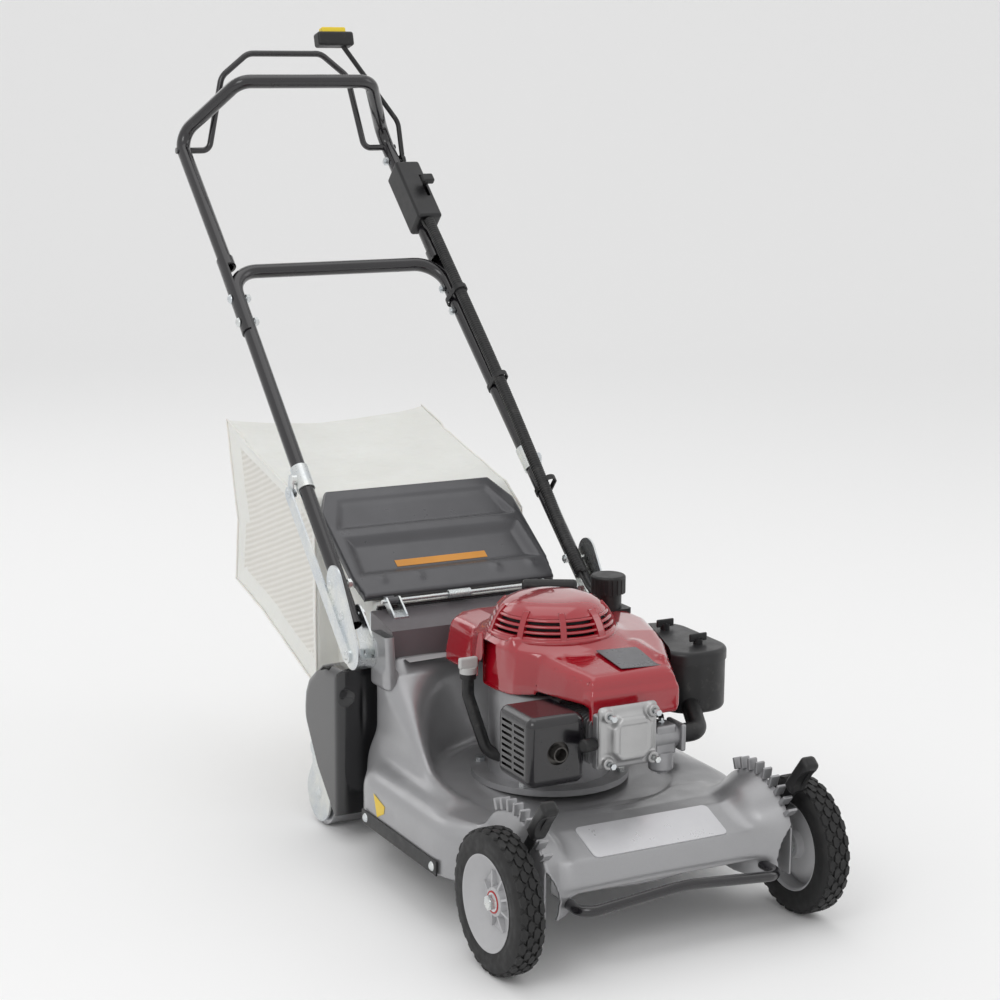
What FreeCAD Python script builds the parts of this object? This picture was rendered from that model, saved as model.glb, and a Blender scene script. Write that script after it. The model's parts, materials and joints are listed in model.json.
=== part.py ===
"""Walk-behind rotary mower: steel deck, front wheels, rear roller, petrol engine and grass bag.

Millimetres. X runs across the machine, Y from the front to the rear, Z up from the ground.
While it is drawn, Y starts at the front axle and Z at the ground. At the end everything moves
along Y, so that the origin is on the ground under the middle of the whole machine.
"""
import FreeCAD, Part
import math
import os

# ---- driving dimensions ------------------------------------------------------------------------
WHEEL_R = 100.0            # front wheel over the tyre
WHEEL_W = 42.0             # width of the tyre
TRACK_OUT = 528.0          # over the outer faces of the front tyres
RIM_R = 66.0               # where the tyre sits on the rim
ROLLER_R = 50.0
ROLLER_Y = 640.0           # roller axle behind the front axle
ROLLER_END_X = 222.0       # half the roller's length

CRANK_Y = 300.0            # crankshaft behind the front axle
BLADE_W = 55.0
BLADE_T = 4.0
BLADE_Z = 84.0             # underside of the blade
TIP_GAP = 10.0             # between the blade's tips and the deck's flat sides

DECK_WALL = 3.0
DECK_BOTTOM_Z = 75.0
PLATFORM_Z = 155.0         # where the engine stands
DECK_SIDE_X = 248.0        # the flat sides of the deck
RING_R = 280.0             # the round front and rear of the deck
TUNNEL_X = 163.0           # half-width of the raised tunnel at the rear
TUNNEL_TOP_Z = 300.0
TUNNEL_REAR_Y = 582.0
SHOULDER_X = 192.0         # half-width of the shoulders beside the engine
SHOULDER_Z = 280.0
SHOULDER_REAR_Y = 515.0
WELL_R = 160.0             # the round well in which the engine stands
WELL_TOP_R = 186.0
NOSE_Y = -38.0
NOSE_X = 176.0
NOSE_LIP_Z = 116.0
NOSE_FLOOR_Z = 103.0       # the nose stands higher off the ground than the sides
NOSE_TOP_Z = 166.0
ARCH_R = 105.0             # round housings beside the front wheels
ARCH_Y = 45.0
ARCH_Z = 100.0
ARCH_IN_X = 140.0
ARCH_OUT_X = 199.0

CHUTE_X = 146.0            # half-width of the mouth that blows into the bag
CHUTE_Z0 = 196.0
CHUTE_Z1 = 340.0
LID_X = 175.0              # half-width of the lid
LID_HINGE_Y = 578.0
LID_HINGE_Z = 368.0
LID_SLOPE = 33.0
LID_LEN = 254.0
SHEET = 2.0                # pressed steel sheet

TUBE_R = 12.0              # handle tubes
TUBE_WALL = 1.5
LEG_X = 209.0              # lower end of the handle's legs
LEG_Y = 541.0
LEG_Z = 346.0
CROSS_X = 197.0            # where the legs turn into the crossbar
CROSS_Y = 1076.0
HANDLE_SLOPE = 42.4
CROSS_BEND_R = 50.0
PIVOT_Y = 1304.0           # the bail turns here
GRIP_X = 124.0             # corners of the top bar
GRIP_Y = 1203.0
GRIP_Z = 1149.0
BAIL_R = 5.5
BAIL_LEAN = 4.0

COVER_X = 240.0            # outer faces of the rear side covers
COVER_FRONT_Y = 533.0
COVER_WALL = 2.5

SHAFT_R = 8.0              # drive shaft across the rear
SHAFT_Y = 604.0
SHAFT_Z = 150.0
AXLE_R = 8.0               # stub axles and roller axle
DRIVE_SPROCKET_R = 22.0
ROLLER_SPROCKET_R = 33.0
CRANK_PULLEY_R = 24.0
INPUT_PULLEY_R = 26.0
BELT_Z = 112.0

RUN_GAP = 0.05             # radial clearance of a running fit
SKIN_GAP = 0.4             # between pieces that pass each other
SEAT_GAP = 0.6             # a flat head or nut on a round, slightly leaning tube
BOLT_R = 4.0

CLEAR = 400.0              # far outside any cut


# ---- drawing helpers ---------------------------------------------------------------------------
def vec(x, y, z):
    return FreeCAD.Vector(x, y, z)


X_AXIS = vec(1, 0, 0)
Y_AXIS = vec(0, 1, 0)
Z_AXIS = vec(0, 0, 1)
ORIGIN = vec(0, 0, 0)


def box(x0, x1, y0, y1, z0, z1):
    return Part.makeBox(x1 - x0, y1 - y0, z1 - z0, vec(x0, y0, z0))


def soft_box(x0, x1, y0, y1, z0, z1, radius):
    block = box(x0, x1, y0, y1, z0, z1)
    return block.makeFillet(radius, block.Edges)


def rod(start, end, radius):
    along = end - start
    return Part.makeCylinder(radius, along.Length, start, along)


def rod_x(x0, x1, y, z, radius):
    return Part.makeCylinder(radius, x1 - x0, vec(x0, y, z), X_AXIS)


def rod_y(x, y0, y1, z, radius):
    return Part.makeCylinder(radius, y1 - y0, vec(x, y0, z), Y_AXIS)


def rod_z(x, y, z0, z1, radius):
    return Part.makeCylinder(radius, z1 - z0, vec(x, y, z0), Z_AXIS)


def sleeve(start, end, outer, inner):
    return rod(start, end, outer).cut(rod(start, end, inner))


def hexagon(centre, axis, across_flats, height):
    """A hexagonal prism that starts at centre and grows along axis."""
    corner_r = across_flats / math.sqrt(3)
    corners = [vec(corner_r * math.cos(math.radians(60 * i)), corner_r * math.sin(math.radians(60 * i)), 0)
               for i in range(7)]
    prism = Part.Face(Part.makePolygon(corners)).extrude(Z_AXIS * height)
    prism.Placement = FreeCAD.Placement(centre, FreeCAD.Rotation(Z_AXIS, axis))
    return prism


def both_sides(shape):
    """The shape and its mirror image across the middle of the machine."""
    return [shape, shape.mirror(ORIGIN, X_AXIS)]


def join(shapes):
    return shapes[0].fuse(list(shapes[1:])).removeSplitter()


def rounded_path(points, radius, closed=False):
    """Straight runs through the points, joined by tangent arcs: one radius, or one per point."""
    count = len(points)
    radii = radius if isinstance(radius, list) else [radius] * count
    corners = []
    for i, point in enumerate(points):
        if radii[i] == 0 or (not closed and i in (0, count - 1)):
            corners.append((point, None, point))
            continue
        before = (points[i - 1] - point).normalize()
        after = (points[(i + 1) % count] - point).normalize()
        half_turn = (math.pi - before.getAngle(after)) / 2
        reach = radii[i] * math.tan(half_turn)
        inward = (before + after).normalize()
        middle = point + inward * (radii[i] / math.cos(half_turn) - radii[i])
        corners.append((point + before * reach, middle, point + after * reach))
    edges = []
    for i, (start, middle, end) in enumerate(corners):
        if middle is not None:
            edges.append(Part.Arc(start, middle, end).toShape())
        if closed or i + 1 < count:
            following = corners[(i + 1) % count][0]
            if end.distanceToPoint(following) > 1e-6:
                edges.append(Part.LineSegment(end, following).toShape())
    return Part.Wire(edges)


def sweep(route, radius):
    first = route.Edges[0]
    start = first.valueAt(first.FirstParameter)
    heading = first.tangentAt(first.FirstParameter)
    return route.makePipeShell([Part.Wire(Part.makeCircle(radius, start, heading))], True, False)


def bent_rod(points, bend_r, radius):
    return sweep(rounded_path(points, bend_r), radius)


def bent_tube(points, bend_r, radius, wall):
    route = rounded_path(points, bend_r)
    return sweep(route, radius).cut(sweep(route, radius - wall))


def plate_x(outline, x0, x1, radius=0.0):
    """A plate square to X: its outline is a list of (y, z) corners."""
    corners = [vec(x0, y, z) for y, z in outline]
    return Part.Face(rounded_path(corners, radius, closed=True)).extrude(X_AXIS * (x1 - x0))


def plate_y(outline, y0, y1, radius=0.0):
    """A plate square to Y: its outline is a list of (x, z) corners."""
    corners = [vec(x, y0, z) for x, z in outline]
    return Part.Face(rounded_path(corners, radius, closed=True)).extrude(Y_AXIS * (y1 - y0))


def plate_z(outline, z0, z1, radius=0.0):
    """A plate square to Z: its outline is a list of (x, y) corners."""
    corners = [vec(x, y, z0) for x, y in outline]
    return Part.Face(rounded_path(corners, radius, closed=True)).extrude(Z_AXIS * (z1 - z0))


def link_x(end_a, radius_a, end_b, radius_b, x0, x1):
    """A link square to X with round ends of two sizes and straight tangent sides."""
    (ya, za), (yb, zb) = end_a, end_b
    length = math.hypot(yb - ya, zb - za)
    heading = math.atan2(zb - za, yb - ya)
    lean = math.acos((radius_a - radius_b) / length)

    def rim(y, z, r, angle):
        return y + r * math.cos(angle), z + r * math.sin(angle)

    sides = [rim(ya, za, radius_a, heading + lean), rim(yb, zb, radius_b, heading + lean),
             rim(yb, zb, radius_b, heading - lean), rim(ya, za, radius_a, heading - lean)]
    web = plate_x(sides, x0, x1)
    return join([web, rod_x(x0, x1, ya, za, radius_a), rod_x(x0, x1, yb, zb, radius_b)])


def top_edges(shape, z):
    return [edge for edge in shape.Edges
            if abs(edge.BoundBox.ZMin - z) < 1e-3 and abs(edge.BoundBox.ZMax - z) < 1e-3]


def turned(outline):
    """A solid turned about Z: its outline is a list of (radius, z) corners."""
    corners = [vec(r, 0, z) for r, z in outline]
    return Part.Face(rounded_path(corners, 0.0, closed=True)).revolve(ORIGIN, Z_AXIS, 360)


pieces_of = {}


def add(name, *shapes):
    """Put separate solids into a node; several calls may add to the same node."""
    pieces_of.setdefault(name, []).extend(shapes)


# ---- deck --------------------------------------------------------------------------------------
BLADE_LEN = 2 * (DECK_SIDE_X - DECK_WALL - TIP_GAP)


def deck_form(inset):
    """The deck's outside at inset 0, and the hollow inside it at inset DECK_WALL."""
    below = DECK_BOTTOM_Z - (10.0 if inset else 0.0)
    ring = rod_z(0, CRANK_Y, below, PLATFORM_Z - inset, RING_R - inset)
    ring = ring.makeFillet(28.0 - inset, top_edges(ring, PLATFORM_Z - inset))
    side = DECK_SIDE_X - inset
    ring = ring.common(box(-side, side, -CLEAR, CLEAR * 2, 0, CLEAR))
    shoulder_outline = [(CRANK_Y - 60, below), (CRANK_Y - 60 + inset, PLATFORM_Z - inset - 4),
                        (CRANK_Y + 170, SHOULDER_Z - inset), (SHOULDER_REAR_Y - inset, SHOULDER_Z - inset),
                        (SHOULDER_REAR_Y - inset, below)]
    shoulder = plate_x(shoulder_outline, -SHOULDER_X + inset, SHOULDER_X - inset)
    tunnel_outline = [(CRANK_Y + 20, below), (CRANK_Y + 20 + inset, PLATFORM_Z - inset),
                      (CRANK_Y + 195, TUNNEL_TOP_Z - inset), (TUNNEL_REAR_Y - inset, TUNNEL_TOP_Z - inset),
                      (TUNNEL_REAR_Y - inset, below)]
    tunnel = plate_x(tunnel_outline, -TUNNEL_X + inset, TUNNEL_X - inset)
    nose_floor = NOSE_FLOOR_Z - (1.0 if inset else 0.0)
    nose_outline = [(NOSE_Y + inset, nose_floor), (NOSE_Y + inset, NOSE_LIP_Z - inset),
                    (NOSE_Y + 18 + inset, NOSE_LIP_Z + 27 - inset),
                    (NOSE_Y + 78, NOSE_TOP_Z - inset), (NOSE_Y + 110, NOSE_TOP_Z - inset),
                    (NOSE_Y + 175, PLATFORM_Z - inset), (NOSE_Y + 175, nose_floor)]
    nose = plate_x(nose_outline, -NOSE_X + inset, NOSE_X - inset)
    arch = Part.makeCone(ARCH_R - 34 - inset, ARCH_R - inset, ARCH_OUT_X - ARCH_IN_X - inset,
                         vec(ARCH_IN_X, ARCH_Y, ARCH_Z), X_AXIS)
    arch = arch.common(box(0, CLEAR, -CLEAR, CLEAR, below, CLEAR))
    form = join([ring, shoulder, tunnel, nose] + both_sides(arch))
    well = Part.makeCone(WELL_R + inset, WELL_TOP_R + inset, TUNNEL_TOP_Z - PLATFORM_Z + 20,
                         vec(0, CRANK_Y, PLATFORM_Z - inset), Z_AXIS)
    return form.cut(well)


def build_deck():
    deck = deck_form(0.0).cut(deck_form(DECK_WALL))
    mouth = box(-CHUTE_X, CHUTE_X, TUNNEL_REAR_Y - 20, TUNNEL_REAR_Y + 20, CHUTE_Z0, TUNNEL_TOP_Z - 6)
    belt_way = box(-62, 62, TUNNEL_REAR_Y - 20, TUNNEL_REAR_Y + 20, BELT_Z - 16, BELT_Z + 22)
    shaft_hole = rod_z(0, CRANK_Y, PLATFORM_Z - 20, PLATFORM_Z + 5, 32.0)
    vent = box(-CHUTE_X, CHUTE_X, CRANK_Y + 212, TUNNEL_REAR_Y - DECK_WALL,
               TUNNEL_TOP_Z - 20, TUNNEL_TOP_Z + 20)
    cuts = [mouth, belt_way, shaft_hole, vent]
    for side in (-1, 1):
        cuts.append(rod_x(side * ARCH_OUT_X - 12, side * ARCH_OUT_X + 12, ARCH_Y, ARCH_Z, AXLE_R + RUN_GAP))
    return deck.cut(cuts)


def build_posts():
    """Cast posts on the shoulders: the handle's brackets are bolted to their outer faces."""
    post = soft_box(BRACKET_IN_X - 16, BRACKET_IN_X, SHOULDER_REAR_Y - 62, SHOULDER_REAR_Y,
                    SHOULDER_Z - DECK_WALL, POST_TOP_Z, 3.0)
    return both_sides(post.cut(rod_x(0, CLEAR, POST_BOLT[0], POST_BOLT[1], BOLT_R)))


BRACKET_T = 3.0            # sheet of the handle's brackets
BRACKET_IN_X = LEG_X - TUBE_R - 0.5 - BRACKET_T
POST_BOLT = (500.0, 306.0)
POST_TOP_Z = 348.0


# ---- pieces fixed to the deck ------------------------------------------------------------------
SKIRT_H = 22.0
SKIRT_T = 3.0
SKIRT_HALF = math.sqrt(RING_R ** 2 - DECK_SIDE_X ** 2) - 4
SKIRT_SCREW_Z = DECK_BOTTOM_Z + SKIRT_H / 2


def dome_screw(face, axis, head_r, head_h, shank_r, shank_len):
    """A dome-headed screw: the head stands on the face along axis, the shank runs the other way."""
    sphere_r = (head_r ** 2 + head_h ** 2) / (2 * head_h)
    centre = face + axis * (head_h - sphere_r)
    cap = Part.makeSphere(sphere_r, centre).common(rod(face, face + axis * head_h * 2, head_r))
    return join([cap, rod(face - axis * shank_len, face, shank_r)])


def nut(face, axis, across_flats, height, bore_r):
    return hexagon(face, axis, across_flats, height).cut(rod(face - axis, face + axis * (height + 1), bore_r))


def build_skirt(side):
    strip = soft_box(0, SKIRT_T, CRANK_Y - SKIRT_HALF, CRANK_Y + SKIRT_HALF,
                     DECK_BOTTOM_Z, DECK_BOTTOM_Z + SKIRT_H, SKIRT_T * 0.45)
    strip.translate(vec(DECK_SIDE_X, 0, 0))
    for end in (-1, 1):
        y = CRANK_Y + end * (SKIRT_HALF - 14)
        strip = strip.cut(rod_x(DECK_SIDE_X - 1, DECK_SIDE_X + SKIRT_T + 1, y, SKIRT_SCREW_Z, 3.0))
    return strip if side > 0 else strip.mirror(ORIGIN, X_AXIS)


def build_skirt_screws():
    screws = []
    for end in (-1, 1):
        face = vec(DECK_SIDE_X + SKIRT_T, CRANK_Y + end * (SKIRT_HALF - 14), SKIRT_SCREW_Z)
        screws += both_sides(dome_screw(face, X_AXIS, 7.0, 4.0, 3.0, SKIRT_T))
    return screws


def build_badge():
    """A plain plate on the sloping front of the deck."""
    rise = math.degrees(math.atan2(NOSE_TOP_Z - NOSE_LIP_Z - 27, 60))
    length = math.hypot(60, NOSE_TOP_Z - NOSE_LIP_Z - 27)
    plate = plate_z([(-107, 0), (107, 0), (107, length), (-107, length)], 0, 1.6, 8.0)
    plate.rotate(ORIGIN, X_AXIS, rise)
    plate.translate(vec(0, NOSE_Y + 18, NOSE_LIP_Z + 27))
    return plate


def build_bumper():
    ends_z = NOSE_FLOOR_Z - 9
    end_y = CRANK_Y - math.sqrt((RING_R - 6) ** 2 - 158 ** 2)
    route = [vec(-158, end_y, ends_z), vec(-158, NOSE_Y - 42, ends_z), vec(0, NOSE_Y - 42, ends_z + 14),
             vec(158, NOSE_Y - 42, ends_z), vec(158, end_y, ends_z)]
    return bent_tube(route, [0, 24.0, 300.0, 24.0, 0], 7.5, 1.5).cut(deck_form(0))


PLATE_REAR_Y = TUNNEL_REAR_Y + 3.0


def build_rear_plate():
    """The steel plate that closes the deck's rear and carries the bag and the gearbox."""
    outline = [(-TUNNEL_X, 128), (TUNNEL_X, 128), (TUNNEL_X, 354), (-TUNNEL_X, 354)]
    plate = plate_y(outline, TUNNEL_REAR_Y, PLATE_REAR_Y, 6.0)
    mouth = box(-CHUTE_X, CHUTE_X, 0, CLEAR * 2, CHUTE_Z0, CHUTE_Z1)
    belt_way = box(-62, 62, 0, CLEAR * 2, 100, BELT_Z + 22)
    return plate.cut([mouth, belt_way])


def panel_form(inset):
    rise = LID_HINGE_Z - 14
    outline = [(CRANK_Y + 198 + inset, TUNNEL_TOP_Z - inset * 5),
               (CRANK_Y + 204 + inset, TUNNEL_TOP_Z + 40 - inset),
               (TUNNEL_REAR_Y, rise - inset), (TUNNEL_REAR_Y, TUNNEL_TOP_Z - inset * 5)]
    return plate_x(outline, -TUNNEL_X + inset, TUNNEL_X - inset)


def build_rear_panel():
    return panel_form(0).cut(panel_form(SHEET))


add("side_skirts", build_skirt(1), build_skirt(-1))
add("fasteners", *build_skirt_screws())
add("badge_plate", build_badge())
add("front_bumper", build_bumper())
add("rear_plate", build_rear_plate())
add("rear_panel", build_rear_panel())

# ---- lid over the mouth ------------------------------------------------------------------------
PIN_R = 3.0
KNUCKLE_R = 6.0
HINGE_X = 128.0            # middle of each hinge
LID_EDGE = 12.0            # depth of the lid's turned-down edge


def build_lid():
    """Drawn flat: X across, Y up the slope from the hinge pin, Z square to the sheet."""
    def form(inset, floor):
        outline = [(-LID_X + 7 + inset, 14 + inset), (LID_X - 7 - inset, 14 + inset), (LID_X - inset, 60),
                   (LID_X - inset, LID_LEN - 52), (LID_X - 26 - inset, LID_LEN - inset),
                   (-LID_X + 26 + inset, LID_LEN - inset), (-LID_X + inset, LID_LEN - 52),
                   (-LID_X + inset, 60)]
        return plate_z(outline, floor, 0 if inset == 0 else -SHEET, 7.0)

    def pan(inset, floor):
        outline = [(-158 + inset, 58 + inset), (158 - inset, 58 + inset), (150 - inset, 145 - inset),
                   (-150 + inset, 145 - inset)]
        return plate_z(outline, floor, 1 if inset else 0, 8.0)

    def shelf(inset, floor):
        outline = [(-162 + inset, 160 + inset), (162 - inset, 160 + inset), (136 - inset, 230 - inset),
                   (-136 + inset, 230 - inset)]
        return plate_z(outline, floor, 1 if inset else 0, 8.0)

    lid = form(0, -LID_EDGE).cut(form(SHEET, -LID_EDGE - 1))
    lid = join([lid, pan(0, -9), shelf(0, -6)]).cut([pan(SHEET, -9 + SHEET), shelf(SHEET, -6 + SHEET)])
    for x in (-85, 85):
        lid = lid.cut(rod_z(x, LID_LEN - 9, -LID_EDGE, 1, 2.5))
    ears = []
    for side in (-1, 1):
        start = side * HINGE_X - 9
        ear = box(start, start + 18, 0, 22, -KNUCKLE_R, -KNUCKLE_R + SHEET)
        ears.append(join([ear, rod_x(start, start + 18, 0, 0, KNUCKLE_R)]).cut(
            rod_x(start - 1, start + 19, 0, 0, PIN_R + RUN_GAP)))
    lid = join([lid] + ears)
    lid.rotate(ORIGIN, X_AXIS, LID_SLOPE)
    lid.translate(vec(0, LID_HINGE_Y, LID_HINGE_Z))
    return lid


def build_hinge_bracket(side):
    """Two cheeks beside the lid's knuckle, standing on the rear panel."""
    cheeks = []
    for x in (side * HINGE_X - 9 - SKIN_GAP - 3, side * HINGE_X + 9 + SKIN_GAP):
        cheek = link_x((LID_HINGE_Y - 26, LID_HINGE_Z - 18), 5, (LID_HINGE_Y, LID_HINGE_Z), 7, x, x + 3)
        cheeks.append(cheek)
    foot_x = side * HINGE_X - 9 - SKIN_GAP - 3
    foot = plate_x([(LID_HINGE_Y - 34, LID_HINGE_Z - 26), (LID_HINGE_Y - 12, LID_HINGE_Z - 20),
                    (LID_HINGE_Y - 12, LID_HINGE_Z - 12), (LID_HINGE_Y - 34, LID_HINGE_Z - 18)],
                   foot_x, foot_x + 24 + 2 * SKIN_GAP)
    bracket = join(cheeks + [foot]).cut(panel_form(0))
    return bracket.cut(rod_x(-CLEAR, CLEAR, LID_HINGE_Y, LID_HINGE_Z, PIN_R))


def build_hinge_pin():
    return rod_x(-HINGE_X - 18, HINGE_X + 18, LID_HINGE_Y, LID_HINGE_Z, PIN_R)


SPRING_WIRE_R = 1.4
SPRING_R = 5.4


def build_lid_spring():
    """A torsion spring on the pin, drawn as its rings side by side."""
    centres = [vec(-30 + i * 2 * SPRING_WIRE_R, LID_HINGE_Y, LID_HINGE_Z) for i in range(14)]
    return [Part.makeTorus(SPRING_R, SPRING_WIRE_R, centre, X_AXIS) for centre in centres]


add("lid", build_lid())
add("lid_hinges", build_hinge_bracket(1), build_hinge_bracket(-1), build_hinge_pin(), *build_lid_spring())

# ---- handle ------------------------------------------------------------------------------------
RISE = math.tan(math.radians(HANDLE_SLOPE))
UP_LEG = vec(0, math.cos(math.radians(HANDLE_SLOPE)), math.sin(math.radians(HANDLE_SLOPE)))


def leg_point(y):
    """A point on the middle line of the +X leg."""
    if y <= CROSS_Y:
        x = LEG_X + (CROSS_X - LEG_X) * (y - LEG_Y) / (CROSS_Y - LEG_Y)
    else:
        x = CROSS_X
    return vec(x, y, LEG_Z + (y - LEG_Y) * RISE)


def on_leg(shape, y):
    """Place a shape drawn flat (Y up the leg, Z square to it, X across) on the leg at y."""
    placed = shape.copy()
    placed.rotate(ORIGIN, X_AXIS, HANDLE_SLOPE)
    placed.translate(vec(0, y, leg_point(y).z))
    return placed


def flip(point):
    return vec(-point.x, point.y, point.z)


UPPER_START_Y = CROSS_Y + 7
TOP_CORNER_Y = 1312.0
JOINT_BOLT_YS = (994.0, 1032.0)
FOOT_BOLT_YS = (556.0, 598.0)
CRESCENT_Y = 977.0
CRESCENT_OUT_R = TUBE_R + 2.6
SLEEVE_YS = (734.0, 766.0)
PIVOT_Z = leg_point(PIVOT_Y - 16).z
BAIL_Y = PIVOT_Y - 16
LEVER_Y = 1262.0           # the blade lever turns here


def cross_bolt_hole(y, radius):
    spot = leg_point(y)
    return both_sides(rod_x(spot.x - 40, spot.x + 40, y, spot.z, radius))


def build_lower_handle():
    foot = leg_point(LEG_Y)
    corner = leg_point(CROSS_Y)
    frame = bent_tube([flip(foot), flip(corner), corner, foot], [0, CROSS_BEND_R, CROSS_BEND_R, 0],
                      TUBE_R, TUBE_WALL)
    holes = []
    for y in JOINT_BOLT_YS + FOOT_BOLT_YS:
        holes += cross_bolt_hole(y, BOLT_R)
    return frame.cut(holes)


def build_upper_handle():
    """The grip loop, with a collar and a half-round saddle that hugs each lower leg."""
    start = leg_point(UPPER_START_Y)
    corner = leg_point(TOP_CORNER_Y)
    grip = vec(GRIP_X, GRIP_Y, GRIP_Z)
    loop = bent_tube([flip(start), flip(corner), flip(grip), grip, corner, start],
                     [0, 34.0, 34.0, 34.0, 34.0, 0], TUBE_R, TUBE_WALL)
    collar_top = leg_point(UPPER_START_Y + 14)
    collar = sleeve(start, collar_top, CRESCENT_OUT_R, TUBE_R - TUBE_WALL)
    low = leg_point(CRESCENT_Y)
    saddle = sleeve(low, start, CRESCENT_OUT_R, TUBE_R + 0.15)
    outer_half = box(leg_point(CRESCENT_Y).x + 2, CLEAR, 0, CLEAR * 4, 0, CLEAR * 4)
    saddle = saddle.common(outer_half)
    pieces = [loop] + both_sides(collar) + both_sides(saddle)
    holes = []
    for y in JOINT_BOLT_YS:
        holes += cross_bolt_hole(y, BOLT_R)
    holes += both_sides(rod_x(LEG_X - 40, LEG_X + 40, BAIL_Y, PIVOT_Z, BAIL_R + RUN_GAP))
    holes.append(rod_x(0, CLEAR, LEVER_Y, leg_point(LEVER_Y).z, BOLT_R))
    return join(pieces).cut(holes)


def build_handle_bolts():
    """Dome heads outside, nuts inside, through the lower legs."""
    bolts = []
    nuts = []
    for y in JOINT_BOLT_YS:
        spot = leg_point(y)
        outer = spot.x + CRESCENT_OUT_R + SEAT_GAP
        inner = spot.x - TUBE_R - SEAT_GAP
        bolts += both_sides(dome_screw(vec(outer, y, spot.z), X_AXIS, 8.0, 5.0, BOLT_R, outer - inner + 8))
        nuts += both_sides(nut(vec(inner, y, spot.z), X_AXIS * -1, 13.0, 6.0, BOLT_R))
    return bolts, nuts


BRACKET_LOW = (520.0, 312.0)
BRACKET_HIGH = (582.0, 405.0)
BRACKET_R = 28.0
BRACKET_OUT_X = LEG_X + TUBE_R + 1.0
BRACE_LOW = (532.0, 304.0)
BRACE_HIGH_Y = 742.0
BRACE_T = 3.0
BRACE_X = BRACKET_OUT_X + BRACKET_T


def build_bracket(side):
    """A channel that holds the foot of a leg: two cheeks and the web round their lower end."""
    outer = link_x(BRACKET_LOW, BRACKET_R, BRACKET_HIGH, BRACKET_R + 0.01, BRACKET_OUT_X, BRACE_X)
    inner = link_x(BRACKET_LOW, BRACKET_R, (FOOT_BOLT_YS[0], leg_point(FOOT_BOLT_YS[0]).z), 15.0,
                   BRACKET_IN_X, BRACKET_IN_X + BRACKET_T)
    rim = link_x(BRACKET_LOW, BRACKET_R, BRACKET_HIGH, BRACKET_R + 0.01, BRACKET_IN_X, BRACE_X)
    hollow = link_x(BRACKET_LOW, BRACKET_R - 3, BRACKET_HIGH, BRACKET_R - 2.99, BRACKET_IN_X, BRACE_X)
    web = rim.cut(hollow).common(box(0, CLEAR, 0, CLEAR * 2, 0, BRACKET_LOW[1] - 6))
    bracket = join([outer, inner, web])
    holes = [rod_x(0, CLEAR, y, leg_point(y).z, BOLT_R) for y in FOOT_BOLT_YS]
    holes.append(rod_x(0, CLEAR, BRACE_LOW[0], BRACE_LOW[1], BOLT_R))
    holes.append(rod_x(0, BRACKET_IN_X + BRACKET_T + 1, POST_BOLT[0], POST_BOLT[1], BOLT_R))
    bracket = bracket.cut(holes)
    return bracket if side > 0 else bracket.mirror(ORIGIN, X_AXIS)


def brace_top():
    """The brace's upper bolt sits on the sleeve's ear, under the leg."""
    spot = leg_point(BRACE_HIGH_Y)
    return spot.y + 12, spot.z - 16


def build_brace(side):
    top_y, top_z = brace_top()
    strip = link_x(BRACE_LOW, 13.0, (top_y, top_z), 12.0, BRACE_X, BRACE_X + BRACE_T)
    strip = strip.cut([rod_x(0, CLEAR, BRACE_LOW[0], BRACE_LOW[1], BOLT_R),
                       rod_x(0, CLEAR, top_y, top_z, BOLT_R)])
    return strip if side > 0 else strip.mirror(ORIGIN, X_AXIS)


def build_leg_sleeve(side):
    """A clamp round the leg with an ear that reaches out to the brace."""
    low, high = leg_point(SLEEVE_YS[0]), leg_point(SLEEVE_YS[1])
    top_y, top_z = brace_top()
    ring = sleeve(low, high, TUBE_R + 2.4, TUBE_R)
    ear = link_x((leg_point(750).y, leg_point(750).z), 9.0, (top_y, top_z), 11.0, BRACE_X - 3, BRACE_X)
    arm = rod_x(low.x, BRACE_X, 750, leg_point(750).z, 8.5)
    leg = rod(leg_point(SLEEVE_YS[0] - 40), leg_point(SLEEVE_YS[1] + 40), TUBE_R + 0.02)
    clamp = join([ring, ear, arm]).cut([leg, rod_x(0, CLEAR, top_y, top_z, BOLT_R)])
    return clamp if side > 0 else clamp.mirror(ORIGIN, X_AXIS)


def build_foot_bolts():
    """Bolts through the brackets and legs, and through both ends of the braces."""
    bolts = []
    nuts = []
    for y, inner_face in zip(FOOT_BOLT_YS, (BRACKET_IN_X, LEG_X - TUBE_R - 1.6)):
        face = vec(BRACE_X, y, leg_point(y).z)
        bolts += both_sides(dome_screw(face, X_AXIS, 7.5, 4.0, BOLT_R, BRACE_X - inner_face + 8))
        nuts += both_sides(nut(vec(inner_face - 0.05, y, leg_point(y).z), X_AXIS * -1, 13.0, 6.0, BOLT_R))
    low_face = vec(BRACE_X + BRACE_T, BRACE_LOW[0], BRACE_LOW[1])
    bolts += both_sides(dome_screw(low_face, X_AXIS, 7.5, 4.0, BOLT_R, BRACE_X + BRACE_T - BRACKET_OUT_X + 8))
    nuts += both_sides(nut(vec(BRACKET_OUT_X, BRACE_LOW[0], BRACE_LOW[1]), X_AXIS * -1, 13.0, 6.0, BOLT_R))
    top_y, top_z = brace_top()
    top_face = vec(BRACE_X + BRACE_T, top_y, top_z)
    bolts += both_sides(dome_screw(top_face, X_AXIS, 7.5, 4.0, BOLT_R, BRACE_T + 3 + 8))
    nuts += both_sides(nut(vec(BRACE_X - 3, top_y, top_z), X_AXIS * -1, 13.0, 6.0, BOLT_R))
    return bolts, nuts


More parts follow.
